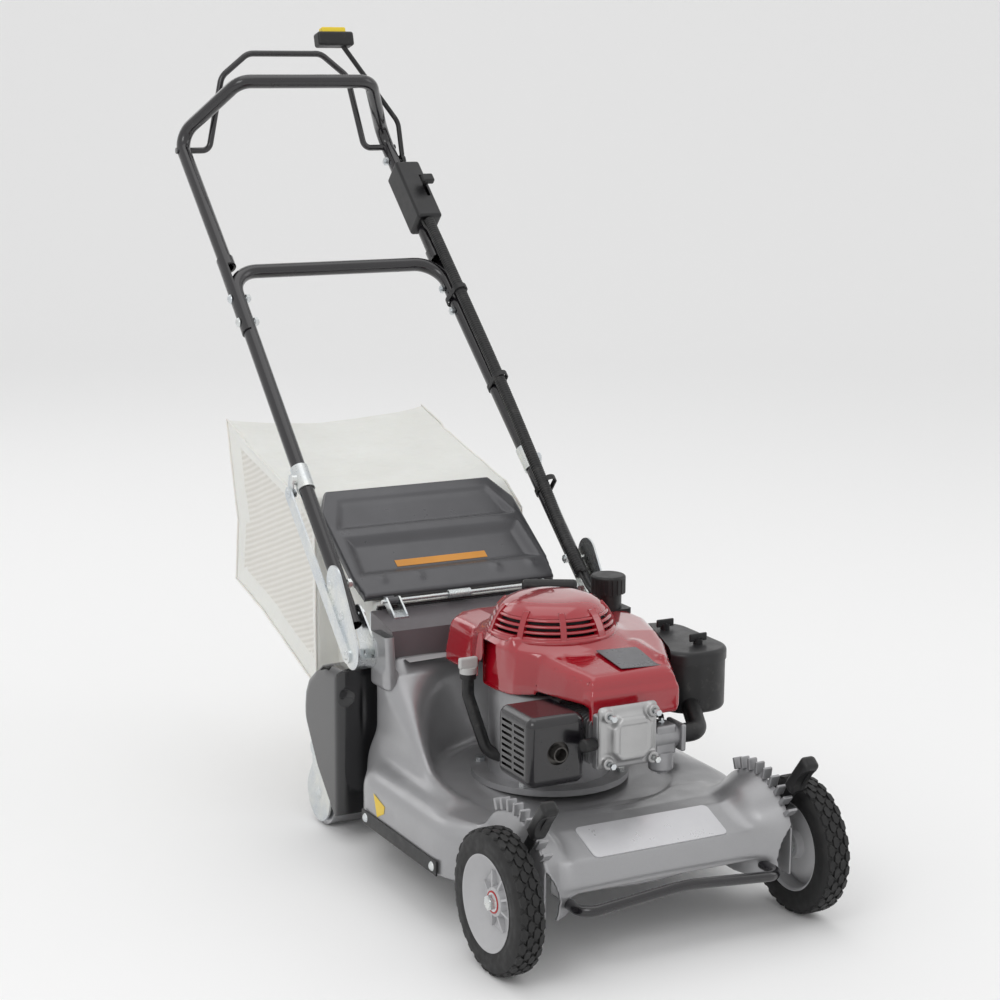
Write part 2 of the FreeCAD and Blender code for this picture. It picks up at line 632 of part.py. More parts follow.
def build_bail():
    """Drawn upright: X across, Z up from the pivot; then leaned back a little."""
    reach = LEG_X + 2
    half = [(-reach, 0), (-150, 0), (-121, 128), (-70, 168)]
    points = half + [(-x, z) for x, z in reversed(half)]
    bend = [0, 16.0, 30.0, 30.0, 30.0, 30.0, 16.0, 0]
    bail = bent_rod([vec(x, 0, z) for x, z in points], bend, BAIL_R)
    bail.rotate(ORIGIN, X_AXIS, -BAIL_LEAN)
    bail.translate(vec(0, BAIL_Y, PIVOT_Z))
    return bail


joint_bolts, joint_nuts = build_handle_bolts()
foot_bolts, foot_nuts = build_foot_bolts()
add("handle_lower", build_lower_handle())
add("handle_upper", build_upper_handle())
for side in (1, -1):
    add("handle_brackets", build_bracket(side), build_brace(side), build_leg_sleeve(side))
add("fasteners", *joint_bolts, *joint_nuts, *foot_bolts, *foot_nuts)
add("bail", build_bail())


# ---- front wheels and their height arms --------------------------------------------------------
WHEEL_MID_X = (TRACK_OUT - WHEEL_W) / 2
ARM_X = ARCH_OUT_X + 4.0
ARM_T = 4.0
HUB_R = 20.0
BUSH_R = AXLE_R + 2.0
AXLE_Z = WHEEL_R
LEVER_ANGLE = 128.0
LEVER_R = 190.0
TEETH_R = 117.0


def turned_x(outline, y, z, x_mid=0.0):
    """A solid turned about a line along X: its outline is a list of (x, radius) corners."""
    corners = [vec(x, r, 0) for x, r in outline]
    solid = Part.Face(rounded_path(corners, 0.0, closed=True)).revolve(ORIGIN, X_AXIS, 360)
    solid.translate(vec(x_mid, y, z))
    return solid


def build_tyre():
    half = WHEEL_W / 2
    outline = [(-half + 1, RIM_R), (-half, RIM_R + 8), (-half, WHEEL_R - 9), (-half + 3, WHEEL_R - 3),
               (-half + 9, WHEEL_R), (half - 9, WHEEL_R), (half - 3, WHEEL_R - 3), (half, WHEEL_R - 9),
               (half, RIM_R + 8), (half - 1, RIM_R), (half - 8, RIM_R), (half - 8, WHEEL_R - 12),
               (-half + 8, WHEEL_R - 12), (-half + 8, RIM_R)]
    return turned_x(outline, 0, AXLE_Z, WHEEL_MID_X)


def build_rim():
    """A band under the tyre, a web, a hub and radial ribs."""
    half = WHEEL_W / 2
    band = turned_x([(-half + 2, RIM_R - 4), (-half + 2, RIM_R), (half - 2, RIM_R), (half - 2, RIM_R - 4)],
                    0, 0)
    web = turned_x([(-2, HUB_R - 2), (-2, RIM_R - 3), (2, RIM_R - 3), (2, HUB_R - 2)], 0, 0)
    hub = turned_x([(-half + 4, BUSH_R), (-half + 4, HUB_R), (8, HUB_R), (8, BUSH_R)], 0, 0)
    ribs = []
    for i in range(8):
        rib = box(-12, 10, HUB_R - 2, RIM_R - 3, -1.5, 1.5)
        rib.rotate(ORIGIN, X_AXIS, 45 * i)
        ribs.append(rib)
    rim = join([band, web, hub] + ribs)
    rim.translate(vec(WHEEL_MID_X, 0, AXLE_Z))
    return rim


def build_bush():
    half = WHEEL_W / 2
    return turned_x([(-half + 4, AXLE_R + RUN_GAP), (-half + 4, BUSH_R), (8, BUSH_R), (8, AXLE_R + RUN_GAP)],
                    0, AXLE_Z, WHEEL_MID_X)


def build_height_arm():
    """The arm with its pivot pin through the arch and the stub axle for the wheel."""
    arm = link_x((ARCH_Y, ARCH_Z), 19.0, (0, AXLE_Z), 16.0, ARM_X, ARM_X + ARM_T)
    pin = rod_x(ARCH_OUT_X - 14, ARM_X, ARCH_Y, ARCH_Z, AXLE_R)
    head = rod_x(ARCH_OUT_X - 18, ARCH_OUT_X - 14, ARCH_Y, ARCH_Z, AXLE_R)
    stub_end = WHEEL_MID_X + 18
    stub = rod_x(ARM_X + ARM_T, stub_end, 0, AXLE_Z, AXLE_R)
    shoulder = rod_x(ARM_X + ARM_T, WHEEL_MID_X - WHEEL_W / 2 + 4 - SKIN_GAP, 0, AXLE_Z, AXLE_R + 5)
    return join([arm, pin, head, stub, shoulder])


def build_axle_nut():
    washer_x = WHEEL_MID_X + 8 + SKIN_GAP
    washer = sleeve(vec(washer_x, 0, AXLE_Z), vec(washer_x + 1.6, 0, AXLE_Z), 13.0, AXLE_R)
    hexnut = hexagon(vec(washer_x + 1.6, 0, AXLE_Z), X_AXIS, 19.0, 7.0)
    return join([washer, hexnut.cut(rod_x(0, CLEAR, 0, AXLE_Z, AXLE_R))])


def from_arch(radius, angle):
    turn = math.radians(angle)
    return ARCH_Y + radius * math.cos(turn), ARCH_Z + radius * math.sin(turn)


def build_height_lever():
    """A flat spring strip on the arm, with a flared grip at its end."""
    strip = box(ARM_X + ARM_T, ARM_X + ARM_T + 2, 10, LEVER_R - 20, -8, 8)
    palm = box(ARM_X - 9, ARM_X + 15, TEETH_R + 6, LEVER_R, -11, 11)
    palm = palm.makeFillet(7.0, palm.Edges)
    scoop = Part.makeCylinder(60, 60, vec(ARM_X - 20, LEVER_R - 32, 66), X_AXIS)
    lever = join([strip, palm.cut(scoop)])
    lever.rotate(ORIGIN, X_AXIS, LEVER_ANGLE)
    lever.translate(vec(0, ARCH_Y, ARCH_Z))
    return lever.cut(rod_x(0, CLEAR, ARCH_Y, ARCH_Z, 10.0))


def build_quadrant():
    """The toothed arc on the arch that the lever springs into."""
    band = rod_x(ARCH_OUT_X - 3, ARCH_OUT_X + 3, ARCH_Y, ARCH_Z, TEETH_R - 6)
    band = band.cut(rod_x(0, CLEAR, ARCH_Y, ARCH_Z, TEETH_R - 22))
    wedge = [(ARCH_Y, ARCH_Z)] + [from_arch(TEETH_R * 2, angle) for angle in (62, 105, 148)]
    band = band.common(plate_x(wedge, ARCH_OUT_X - 5, ARCH_OUT_X + 8))
    teeth = []
    for i in range(9):
        tooth = box(ARCH_OUT_X - 3, ARCH_OUT_X + 3, TEETH_R - 9, TEETH_R, -2.5, 2.5)
        tooth.rotate(ORIGIN, X_AXIS, 66 + i * 9.5)
        tooth.translate(vec(0, ARCH_Y, ARCH_Z))
        teeth.append(tooth)
    return join([band] + teeth)


for piece, builder in (("tyre", build_tyre), ("rim", build_rim), ("rim", build_bush),
                       ("height_arm", build_height_arm), ("height_arm", build_axle_nut),
                       ("height_lever", build_height_lever)):
    left, right = both_sides(builder())
    add(piece + "_left", left)
    add(piece + "_right", right)
add("deck_housing", join([build_deck()] + build_posts() + both_sides(build_quadrant())))

# ---- cutting blade, belt and gearbox -----------------------------------------------------------
CRANK_R = 12.5
FLYWHEEL_R = 82.0
FLYWHEEL_Z = 306.0
HOLDER_T = 10.0
BELT_W = 10.0
BELT_T = 8.0
GROOVE = 6.0               # how far the pulleys' flanges stand over the groove
BELT_GAP = 0.3


def build_crankshaft():
    return rod_z(0, CRANK_Y, BLADE_Z + BLADE_T, FLYWHEEL_Z + 34, CRANK_R)


def build_flywheel():
    disc = rod_z(0, CRANK_Y, FLYWHEEL_Z, FLYWHEEL_Z + 16, FLYWHEEL_R)
    vanes = []
    for i in range(16):
        vane = box(FLYWHEEL_R - 32, FLYWHEEL_R - 2, -1.2, 1.2, 15, 34)
        vane.rotate(ORIGIN, Z_AXIS, 22.5 * i)
        vane.translate(vec(0, CRANK_Y, FLYWHEEL_Z))
        vanes.append(vane)
    return join([disc] + vanes).cut(rod_z(0, CRANK_Y, 0, CLEAR * 2, CRANK_R))


def build_pulley(y, radius, bore):
    flange = radius + GROOVE
    half = BELT_W / 2 + BELT_GAP
    pulley = join([rod_z(0, y, BELT_Z - half, BELT_Z + half, radius),
                   rod_z(0, y, BELT_Z - half - 2.5, BELT_Z - half, flange),
                   rod_z(0, y, BELT_Z + half, BELT_Z + half + 2.5, flange)])
    return pulley.cut(rod_z(0, y, 0, CLEAR, bore))


def build_belt():
    """A V-belt round both pulleys, with a hair of clearance in the grooves."""
    def loop(extra):
        start_r = CRANK_PULLEY_R + BELT_GAP + extra
        end_r = INPUT_PULLEY_R + BELT_GAP + extra
        shape = link_x((CRANK_Y, 0), start_r, (SHAFT_Y, 0), end_r, -BELT_W / 2, BELT_W / 2)
        shape.rotate(ORIGIN, Y_AXIS, 90)
        shape.translate(vec(0, 0, BELT_Z))
        return shape
    return loop(BELT_T).cut(loop(0))


def build_holder():
    disc = rod_z(0, CRANK_Y, BLADE_Z + BLADE_T, BLADE_Z + BLADE_T + HOLDER_T, 34.0)
    return disc.cut(rod_z(0, CRANK_Y, 0, CLEAR, CRANK_R))


def build_blade():
    """A flat bar with sharpened ends and a lifted wing behind each edge."""
    half = BLADE_LEN / 2
    bar = box(-half, half, -BLADE_W / 2, BLADE_W / 2, 0, BLADE_T)
    bar = bar.common(Part.makeCylinder(half, BLADE_T, ORIGIN, Z_AXIS))
    wing_outline = [(BLADE_W / 2 - 18, 0), (BLADE_W / 2, 12), (BLADE_W / 2, 12 + BLADE_T),
                    (BLADE_W / 2 - 18, BLADE_T)]
    wing = plate_x(wing_outline, half - 100, half - 12)
    edge = plate_x([(-BLADE_W / 2 - 1, 0.5), (-BLADE_W / 2 + 14, BLADE_T), (-BLADE_W / 2 - 1, BLADE_T + 1)],
                   half - 110, half + 1)
    opposite = FreeCAD.Rotation(Z_AXIS, 180)
    pieces = [bar, wing]
    cuts = [edge]
    for group in (pieces, cuts):
        twin = group[-1].copy()
        twin.Placement = FreeCAD.Placement(ORIGIN, opposite)
        group.append(twin)
    blade = join(pieces).cut(cuts)
    blade.translate(vec(0, CRANK_Y, BLADE_Z))
    return blade.cut(rod_z(0, CRANK_Y, 0, CLEAR, 5.0))


def build_blade_bolt():
    head = hexagon(vec(0, CRANK_Y, BLADE_Z), Z_AXIS * -1, 17.0, 8.0)
    return join([head, rod_z(0, CRANK_Y, BLADE_Z, BLADE_Z + BLADE_T, 5.0)])


BELT_BOX_X = 52.0


def build_belt_cover():
    """A sheet box under the deck that keeps cut grass off the belt."""
    front, rear = CRANK_Y - 48, CRANK_Y + RING_R - DECK_WALL - 4
    floor, top = BELT_Z - 10.5, PLATFORM_Z - DECK_WALL
    outer = box(-BELT_BOX_X, BELT_BOX_X, front, rear, floor, top)
    inner = box(-BELT_BOX_X + SHEET, BELT_BOX_X - SHEET, front + SHEET, rear + 5, floor + SHEET, top - SHEET)
    return outer.cut([inner, rod_z(0, CRANK_Y, 0, CLEAR, 38.0)])


GEARBOX_X = 32.0
GEARBOX_Z = (124.0, 178.0)
GEARBOX_REAR_Y = SHAFT_Y + 19


def build_gearbox():
    case = soft_box(-GEARBOX_X, GEARBOX_X, PLATE_REAR_Y, GEARBOX_REAR_Y, GEARBOX_Z[0], GEARBOX_Z[1], 3.0)
    hollow = box(-GEARBOX_X + 3, GEARBOX_X - 3, PLATE_REAR_Y + 3, GEARBOX_REAR_Y - 3,
                 GEARBOX_Z[0] + 3, GEARBOX_Z[1] - 3)
    return case.cut([hollow, rod_x(-CLEAR, CLEAR, SHAFT_Y, SHAFT_Z, SHAFT_R + RUN_GAP),
                     rod_z(0, SHAFT_Y, BELT_Z, SHAFT_Z, 6.0 + RUN_GAP)])


def build_input_shaft():
    """The pulley's shaft with the small bevel gear at its top."""
    shaft = rod_z(0, SHAFT_Y, BELT_Z - 8, GEARBOX_Z[0] + 6, 6.0)
    bevel = Part.makeCone(8.0, 5.5, 6.0, vec(0, SHAFT_Y, GEARBOX_Z[0] + 5), Z_AXIS)
    return join([shaft, bevel])


def build_bevel_wheel():
    cone = Part.makeCone(14.0, 10.0, 6.0, vec(12, SHAFT_Y, SHAFT_Z), X_AXIS)
    return cone.cut(rod_x(-CLEAR, CLEAR, SHAFT_Y, SHAFT_Z, SHAFT_R))


def build_shaft_blocks():
    block = soft_box(138, 152, PLATE_REAR_Y, SHAFT_Y + 14, SHAFT_Z - 14, SHAFT_Z + 14, 2.5)
    return both_sides(block.cut(rod_x(-CLEAR, CLEAR, SHAFT_Y, SHAFT_Z, SHAFT_R + RUN_GAP)))


add("crankshaft", build_crankshaft(), build_flywheel(), build_pulley(CRANK_Y, CRANK_PULLEY_R, CRANK_R),
    build_holder(), build_blade_bolt())
add("blade", build_blade())
add("drive_belt", build_belt())
add("belt_cover", build_belt_cover())
add("gearbox", build_gearbox())
add("gearbox_input", build_input_shaft(), build_pulley(SHAFT_Y, INPUT_PULLEY_R, 6.0))
add("rear_plate", *build_shaft_blocks())

# ---- rear roller on its swinging carrier -------------------------------------------------------
CARRIER_X = 226.0
CARRIER_T = 3.0
CHAIN_X = 205.0
CHAIN_W = 5.0
CHAIN_T = 5.0
DRUM_X1 = 194.0
REAR_LEVER_ANGLE = 52.0
REAR_LEVER_R = 180.0
TIE_Y = 660.0
TIE_Z = 120.0
ROLLER_Z = ROLLER_R


def build_carrier():
    """Two plates that swing on the drive shaft and hold the roller's axle and a tie bar."""
    x0, x1 = CARRIER_X, CARRIER_X + CARRIER_T
    web = [(SHAFT_Y, SHAFT_Z + 10), (TIE_Y + 8, TIE_Z + 8), (TIE_Y, TIE_Z - 40), (SHAFT_Y, SHAFT_Z - 20)]
    plate = join([link_x((SHAFT_Y, SHAFT_Z), 18.0, (ROLLER_Y, ROLLER_Z), ROLLER_R - 6, x0, x1),
                  rod_x(x0, x1, TIE_Y, TIE_Z, 12.0), plate_x(web, x0, x1)])
    plate = plate.cut([rod_x(0, CLEAR, SHAFT_Y, SHAFT_Z, SHAFT_R + RUN_GAP),
                       rod_x(0, CLEAR, ROLLER_Y, ROLLER_Z, BOLT_R)])
    tie = rod_x(-CARRIER_X, CARRIER_X, TIE_Y, TIE_Z, 6.0)
    return join(both_sides(plate) + [tie])


def build_roller_axle():
    reach = CARRIER_X
    axle = rod_x(-reach, reach, ROLLER_Y, ROLLER_Z, AXLE_R)
    face = vec(CARRIER_X + CARRIER_T, ROLLER_Y, ROLLER_Z)
    return [axle] + both_sides(dome_screw(face, X_AXIS, 9.0, 5.0, BOLT_R, CARRIER_T))


def build_roller():
    """A hollow drum with an end plate at each end and a seam near the middle."""
    drum = rod_x(-ROLLER_END_X, DRUM_X1, ROLLER_Y, ROLLER_Z, ROLLER_R)
    hollow = rod_x(-ROLLER_END_X + 3, DRUM_X1 - 3, ROLLER_Y, ROLLER_Z, ROLLER_R - 3)
    groove = sleeve(vec(-16, ROLLER_Y, ROLLER_Z), vec(-12, ROLLER_Y, ROLLER_Z), ROLLER_R + 1, ROLLER_R - 1.5)
    bore = rod_x(-CLEAR, CLEAR, ROLLER_Y, ROLLER_Z, AXLE_R + RUN_GAP)
    return drum.cut([hollow, groove, bore])


def build_sprocket(y, z, tip_r, x0, bore, teeth):
    wheel = rod_x(x0, x0 + CHAIN_W - 1, y, z, tip_r)
    notches = []
    for i in range(teeth):
        notch = rod_x(x0 - 1, x0 + CHAIN_W, 0, 0, 2.4)
        turn = 2 * math.pi * i / teeth
        notch.translate(vec(0, y + (tip_r + 0.6) * math.cos(turn), z + (tip_r + 0.6) * math.sin(turn)))
        notches.append(notch)
    return wheel.cut(notches + [rod_x(-CLEAR, CLEAR, y, z, bore)])


def build_roller_sprocket():
    hub = sleeve(vec(DRUM_X1, ROLLER_Y, ROLLER_Z), vec(CHAIN_X, ROLLER_Y, ROLLER_Z), 18.0, AXLE_R + RUN_GAP)
    return join([hub, build_sprocket(ROLLER_Y, ROLLER_Z, ROLLER_SPROCKET_R, CHAIN_X, AXLE_R + RUN_GAP, 18)])


def build_chain():
    def loop(extra):
        x0 = CHAIN_X - 0.5
        return link_x((SHAFT_Y, SHAFT_Z), DRIVE_SPROCKET_R + BELT_GAP + extra,
                      (ROLLER_Y, ROLLER_Z), ROLLER_SPROCKET_R + BELT_GAP + extra, x0, x0 + CHAIN_W)
    return loop(CHAIN_T).cut(loop(0))


def build_drive_shaft():
    return rod_x(-CARRIER_X - 6, CARRIER_X + 6, SHAFT_Y, SHAFT_Z, SHAFT_R)


def build_rear_lever():
    """The rear height lever: a strip up from the carrier with a grip at its end."""
    lever_x = CARRIER_X + CARRIER_T
    strip = box(lever_x, lever_x + 3, 12, REAR_LEVER_R - 20, -8, 8)
    grip = soft_box(lever_x - 3, lever_x + 7, REAR_LEVER_R - 40, REAR_LEVER_R, -12, 12, 4.5)
    lever = join([strip, grip])
    lever.rotate(ORIGIN, X_AXIS, REAR_LEVER_ANGLE)
    lever.translate(vec(0, SHAFT_Y, SHAFT_Z))
    return lever


COVER_IN_X = TUNNEL_X + SKIN_GAP


def build_side_cover(side):
    """A moulded cover over the carrier, open towards the machine and below."""
    outer = [(COVER_FRONT_Y, 48), (622, 100), (691, 155), (622, 243), (575, 272), (COVER_FRONT_Y, 280)]
    w = COVER_WALL
    inner = [(COVER_FRONT_Y + w, 40), (640, 40), (720, 110), (691 - w * 1.4, 155), (621, 243 - w * 1.3),
             (574, 272 - w * 1.2), (COVER_FRONT_Y + w, 280 - w)]
    cover = plate_x(outer, COVER_IN_X, COVER_X, [4.0, 14.0, 14.0, 14.0, 14.0, 10.0])
    cover = cover.cut(plate_x(inner, COVER_IN_X - 1, COVER_X - w))
    if side > 0:
        lever_x = CARRIER_X + CARRIER_T
        return cover.cut(box(lever_x - 4, lever_x + 7.5, SHAFT_Y - 30, 700, 150, 300))
    return cover.mirror(ORIGIN, X_AXIS)


add("carrier", build_carrier(), *build_roller_axle())
add("roller", build_roller(), build_roller_sprocket())
add("drive_chain", build_chain())
add("drive_shaft", build_drive_shaft(), build_bevel_wheel(),
    build_sprocket(SHAFT_Y, SHAFT_Z, DRIVE_SPROCKET_R, CHAIN_X, SHAFT_R, 12))
add("rear_height_lever", build_rear_lever())
add("side_covers", build_side_cover(1), build_side_cover(-1))


# ---- engine ------------------------------------------------------------------------------------
BLOCK_R = 92.0
BLOCK_TOP_Z = 298.0
HEAD_X = -4.0              # the cylinder stands a little off the middle
HEAD_Z = 262.0
HEAD_FRONT_Y = 78.0
FIN_HALF_X = 46.0
FIN_HALF_Z = 36.0
COWL_WALL = 1.6
COWL_Z0 = 300.0
COWL_Z1 = 374.0
DOME_R = 90.0
DOME_TOP_Z = 428.0


def build_crankcase():
    """The round case on its flange, with the oil filler's boss."""
    flange = rod_z(0, CRANK_Y, PLATFORM_Z, PLATFORM_Z + 9, 118.0)
    case = rod_z(0, CRANK_Y, PLATFORM_Z + 9, BLOCK_TOP_Z, BLOCK_R)
    case = case.makeFillet(8.0, top_edges(case, BLOCK_TOP_Z))
    spigot = rod_z(0, CRANK_Y, PLATFORM_Z - 8, PLATFORM_Z, 30.0)
    case = join([flange, case, spigot])
    bolts = []
    for angle in (40, 140, 220, 320):
        turn = math.radians(angle)
        bolts.append(rod_z(106 * math.cos(turn), CRANK_Y + 106 * math.sin(turn), 0, CLEAR, BOLT_R))
    hollow = rod_z(0, CRANK_Y, PLATFORM_Z + 12, BLOCK_TOP_Z - 10, BLOCK_R - 8)
    crank_way = rod_z(0, CRANK_Y, 0, CLEAR * 2, CRANK_R + RUN_GAP)
    return case.cut(bolts + [hollow, crank_way, filler_tube_form(9.0)])


def build_engine_bolts():
    bolts = []
    for angle in (40, 140, 220, 320):
        turn = math.radians(angle)
        face = vec(106 * math.cos(turn), CRANK_Y + 106 * math.sin(turn), PLATFORM_Z + 9)
        head = hexagon(face, Z_AXIS, 13.0, 5.5)
        bolts.append(join([head, rod(face - Z_AXIS * 9, face, BOLT_R)]))
    return bolts


def build_cylinder():
    """Barrel, cooling fins and head in one casting; its rear is cut to the crankcase."""
    barrel = rod_y(HEAD_X, HEAD_FRONT_Y + 14, CRANK_Y - 60, HEAD_Z, 34.0)
    pieces = [barrel]
    for i in range(13):
        y = HEAD_FRONT_Y + 22 + i * 8
        fin = plate_y([(HEAD_X - FIN_HALF_X, HEAD_Z - FIN_HALF_Z), (HEAD_X + FIN_HALF_X, HEAD_Z - FIN_HALF_Z),
                       (HEAD_X + FIN_HALF_X, HEAD_Z + FIN_HALF_Z), (HEAD_X - FIN_HALF_X, HEAD_Z + FIN_HALF_Z)],
                      y, y + 2.2, 14.0)
        pieces.append(fin)
    pieces.append(soft_box(HEAD_X - FIN_HALF_X + 1, HEAD_X + FIN_HALF_X - 1, HEAD_FRONT_Y, HEAD_FRONT_Y + 16,
                           HEAD_Z - 34, HEAD_Z + 46, 4.0))
    case = rod_z(0, CRANK_Y, PLATFORM_Z, BLOCK_TOP_Z, BLOCK_R)
    return join(pieces).cut([case, plug_form(0.0)])


def build_rocker_cover():
    body = soft_box(HEAD_X - FIN_HALF_X, HEAD_X + FIN_HALF_X, HEAD_FRONT_Y - 26, HEAD_FRONT_Y,
                    HEAD_Z - 30, HEAD_Z + 58, 7.0)
    rim = plate_y([(HEAD_X - FIN_HALF_X - 1, HEAD_Z - 31), (HEAD_X + FIN_HALF_X + 1, HEAD_Z - 31),
                   (HEAD_X + FIN_HALF_X + 1, HEAD_Z + 59), (HEAD_X - FIN_HALF_X - 1, HEAD_Z + 59)],
                  HEAD_FRONT_Y - 7, HEAD_FRONT_Y, 9.0)
    cover = join([body.common(box(-CLEAR, CLEAR, 0, HEAD_FRONT_Y, 0, CLEAR * 2)), rim])
    screws = [rod_y(x, HEAD_FRONT_Y - 40, HEAD_FRONT_Y, z, 3.0) for x, z in rocker_bolt_spots()]
    return cover.cut(screws + [plug_form(0.0)])


def rocker_bolt_spots():
    return [(HEAD_X + sx * (FIN_HALF_X - 10), HEAD_Z + 14 + sz * 34) for sx in (-1, 1) for sz in (-1, 1)]


def build_rocker_bolts():
    bolts = []
    for x, z in rocker_bolt_spots():
        face = vec(x, HEAD_FRONT_Y - 26, z)
        bolts.append(join([hexagon(face, Y_AXIS * -1, 8.0, 5.0), rod(face, face + Y_AXIS * 26, 3.0)]))
    return bolts


PLUG_START = vec(HEAD_X - FIN_HALF_X + 8, HEAD_FRONT_Y + 8, HEAD_Z + 4)
PLUG_AXIS = vec(-1.0, -0.42, 0.12).normalize()


def plug_form(extra):
    return rod(PLUG_START, PLUG_START + PLUG_AXIS * 26, 5.0 + extra)


def build_plug_cap():
    start = PLUG_START + PLUG_AXIS * 14
    boot = Part.makeCylinder(9.5, 24, start, PLUG_AXIS)
    boot = boot.makeFillet(4.0, [boot.Edges[0]])
    return boot.cut(plug_form(0.0))


MUFFLER_X = (-145.0, -54.0)
MUFFLER_Y = (98.0, 196.0)
MUFFLER_Z = (206.0, 308.0)
EXHAUST_X = -100.0
EXHAUST_Z = 256.0
EXHAUST_BORE_R = 9.0


def muffler_box(inset):
    return soft_box(MUFFLER_X[0] + inset, MUFFLER_X[1] - inset, MUFFLER_Y[0] + inset, MUFFLER_Y[1] - inset,
                    MUFFLER_Z[0] + inset, MUFFLER_Z[1] - inset, 14.0 - inset)


def build_muffler():
    """The silencer's can with its pipe to the head and its outlet."""
    can = muffler_box(6.0)
    pipe = rod(vec(MUFFLER_X[1] - 6, 140, 250), vec(HEAD_X - FIN_HALF_X + 3, 140, 250), 11.0)
    outlet = rod_y(EXHAUST_X, MUFFLER_Y[0] - 8, MUFFLER_Y[0] + 14, EXHAUST_Z, EXHAUST_BORE_R + 2)
    bore = rod_y(EXHAUST_X, MUFFLER_Y[0] - 20, MUFFLER_Y[0] + 10, EXHAUST_Z, EXHAUST_BORE_R)
    body = join([can, pipe, outlet]).cut([bore, box(MUFFLER_X[0] + 9, MUFFLER_X[1] - 9, MUFFLER_Y[0] + 18,
                                                   MUFFLER_Y[1] - 9, MUFFLER_Z[0] + 9, MUFFLER_Z[1] - 9)])
    fins = box(HEAD_X - FIN_HALF_X, CLEAR, 0, CLEAR, 0, CLEAR)
    return body.cut(fins)


def build_muffler_guard():
    """A thin cover with rows of slots in its outer side and a round opening for the outlet."""
    guard = muffler_box(0.0).cut(muffler_box(1.6))
    cuts = [rod_y(EXHAUST_X, 0, MUFFLER_Y[0] + 10, EXHAUST_Z, 17.0),
            rod(vec(MUFFLER_X[1] - 12, 140, 250), vec(MUFFLER_X[1] + 12, 140, 250), 12.0)]
    for column in range(2):
        for row in range(8):
            z = MUFFLER_Z[0] + 18 + row * 9.2
            y = MUFFLER_Y[0] + 16 + column * 36
            cuts.append(soft_box(MUFFLER_X[0] - 5, MUFFLER_X[0] + 5, y, y + 30, z, z + 4, 1.5))
    return guard.cut(cuts)


def cowl_outline(inset):
    return [(-98 + inset, 235 + inset), (-98 + inset, 452 - inset), (-72 + inset, 478 - inset),
            (112 - inset, 478 - inset), (190 - inset, 420 - inset), (190 - inset, 330 + inset),
            (150 - inset, 215 + inset), (114 - inset, 140 + inset), (96 - inset, 102 + inset),
            (-44 + inset, 102 + inset), (-62 + inset, 150 + inset), (-76 + inset, 205 + inset)]


def cowl_form(inset, floor):
    radii = [22.0, 24.0, 16.0, 30.0, 30.0, 30.0, 60.0, 40.0, 14.0, 14.0, 40.0, 50.0]
    form = plate_z(cowl_outline(inset), floor, COWL_Z1 - inset, [r - inset for r in radii])
    return form.makeFillet(10.0 - inset, top_edges(form, COWL_Z1 - inset))


def build_cowl():
    """The blower housing over the flywheel, the cylinder and the tank."""
    cowl = cowl_form(0.0, COWL_Z0).cut(cowl_form(COWL_WALL, COWL_Z0 - 5))
    over_muffler = box(-CLEAR, -46, 0, CRANK_Y, COWL_Z0 - 1, MUFFLER_Z[1] + 4)
    return cowl.cut([over_muffler, rod_z(0, CRANK_Y, COWL_Z0, CLEAR * 2, DOME_R - 8),
                     rod_z(NECK_X, NECK_Y, COWL_Z0, CLEAR * 2, NECK_R + SKIN_GAP),
                     rod_z(OIL_X, OIL_Y, COWL_Z0 - 5, OIL_TOP_Z + 20, 15.0)])


def build_dome():
    """The recoil starter's cover: a rounded dome with air slots all round."""
    outline = [(DOME_R + 6, COWL_Z1), (DOME_R + 6, COWL_Z1 + 4), (DOME_R - 2, COWL_Z1 + 6),
               (DOME_R - 5, COWL_Z1 + 30),
               (DOME_R - 20, DOME_TOP_Z - 8), (58, DOME_TOP_Z), (0, DOME_TOP_Z), (0, DOME_TOP_Z - 3),
               (56, DOME_TOP_Z - 3), (DOME_R - 23, DOME_TOP_Z - 11), (DOME_R - 8, COWL_Z1 + 28),
               (DOME_R - 8, COWL_Z1)]
    dome = turned(outline)
    dome.translate(vec(0, CRANK_Y, 0))
    slots = []
    for i in range(24):
        slot = soft_box(DOME_R - 20, DOME_R + 4, -3, 3, COWL_Z1 + 12, COWL_Z1 + 38, 2.0)
        slot.rotate(ORIGIN, Z_AXIS, 15 * i)
        slot.translate(vec(0, CRANK_Y, 0))
        slots.append(slot)
    return dome.cut(slots + [rod(ROPE_OUT - ROPE_AXIS * 60, ROPE_OUT, ROPE_R + 3.0)])


ROPE_R = 2.5
ROPE_DRUM_R = 40.0
ROPE_AXIS = vec(0.42, 0.80, 0.36).normalize()
ROPE_OUT = vec(48, CRANK_Y + 92, COWL_Z1 + 24)
STARTER_TRAVEL = 300.0


def build_rope_outlet():
    """A guide on the dome for the starter rope."""
    guide = sleeve(ROPE_OUT - ROPE_AXIS * 16, ROPE_OUT + ROPE_AXIS * 10, 10.0, ROPE_R + 0.5)
    filled_dome = rod_z(0, CRANK_Y, COWL_Z1 - 20, CLEAR * 2, DOME_R + 6)
    foot = box(ROPE_OUT.x - 8, ROPE_OUT.x + 8, ROPE_OUT.y - 6, ROPE_OUT.y + 10, COWL_Z1, ROPE_OUT.z)
    foot = foot.cut(rod(ROPE_OUT - ROPE_AXIS * 40, ROPE_OUT + ROPE_AXIS * 40, 10.0))
    return join([guide, foot]).cut(filled_dome)


def build_starter_grip():
    """A T-handle at the end of the rope."""
    centre = ROPE_OUT + ROPE_AXIS * 26
    across = ROPE_AXIS.cross(Z_AXIS).normalize()
    bar = Part.makeCylinder(10.5, 84, centre - across * 42, across)
    bar = bar.makeFillet(6.0, bar.Edges[0:1] + bar.Edges[2:3])
    stem = rod(ROPE_OUT + ROPE_AXIS * 10.5, centre, 7.0)
    return join([bar, stem])


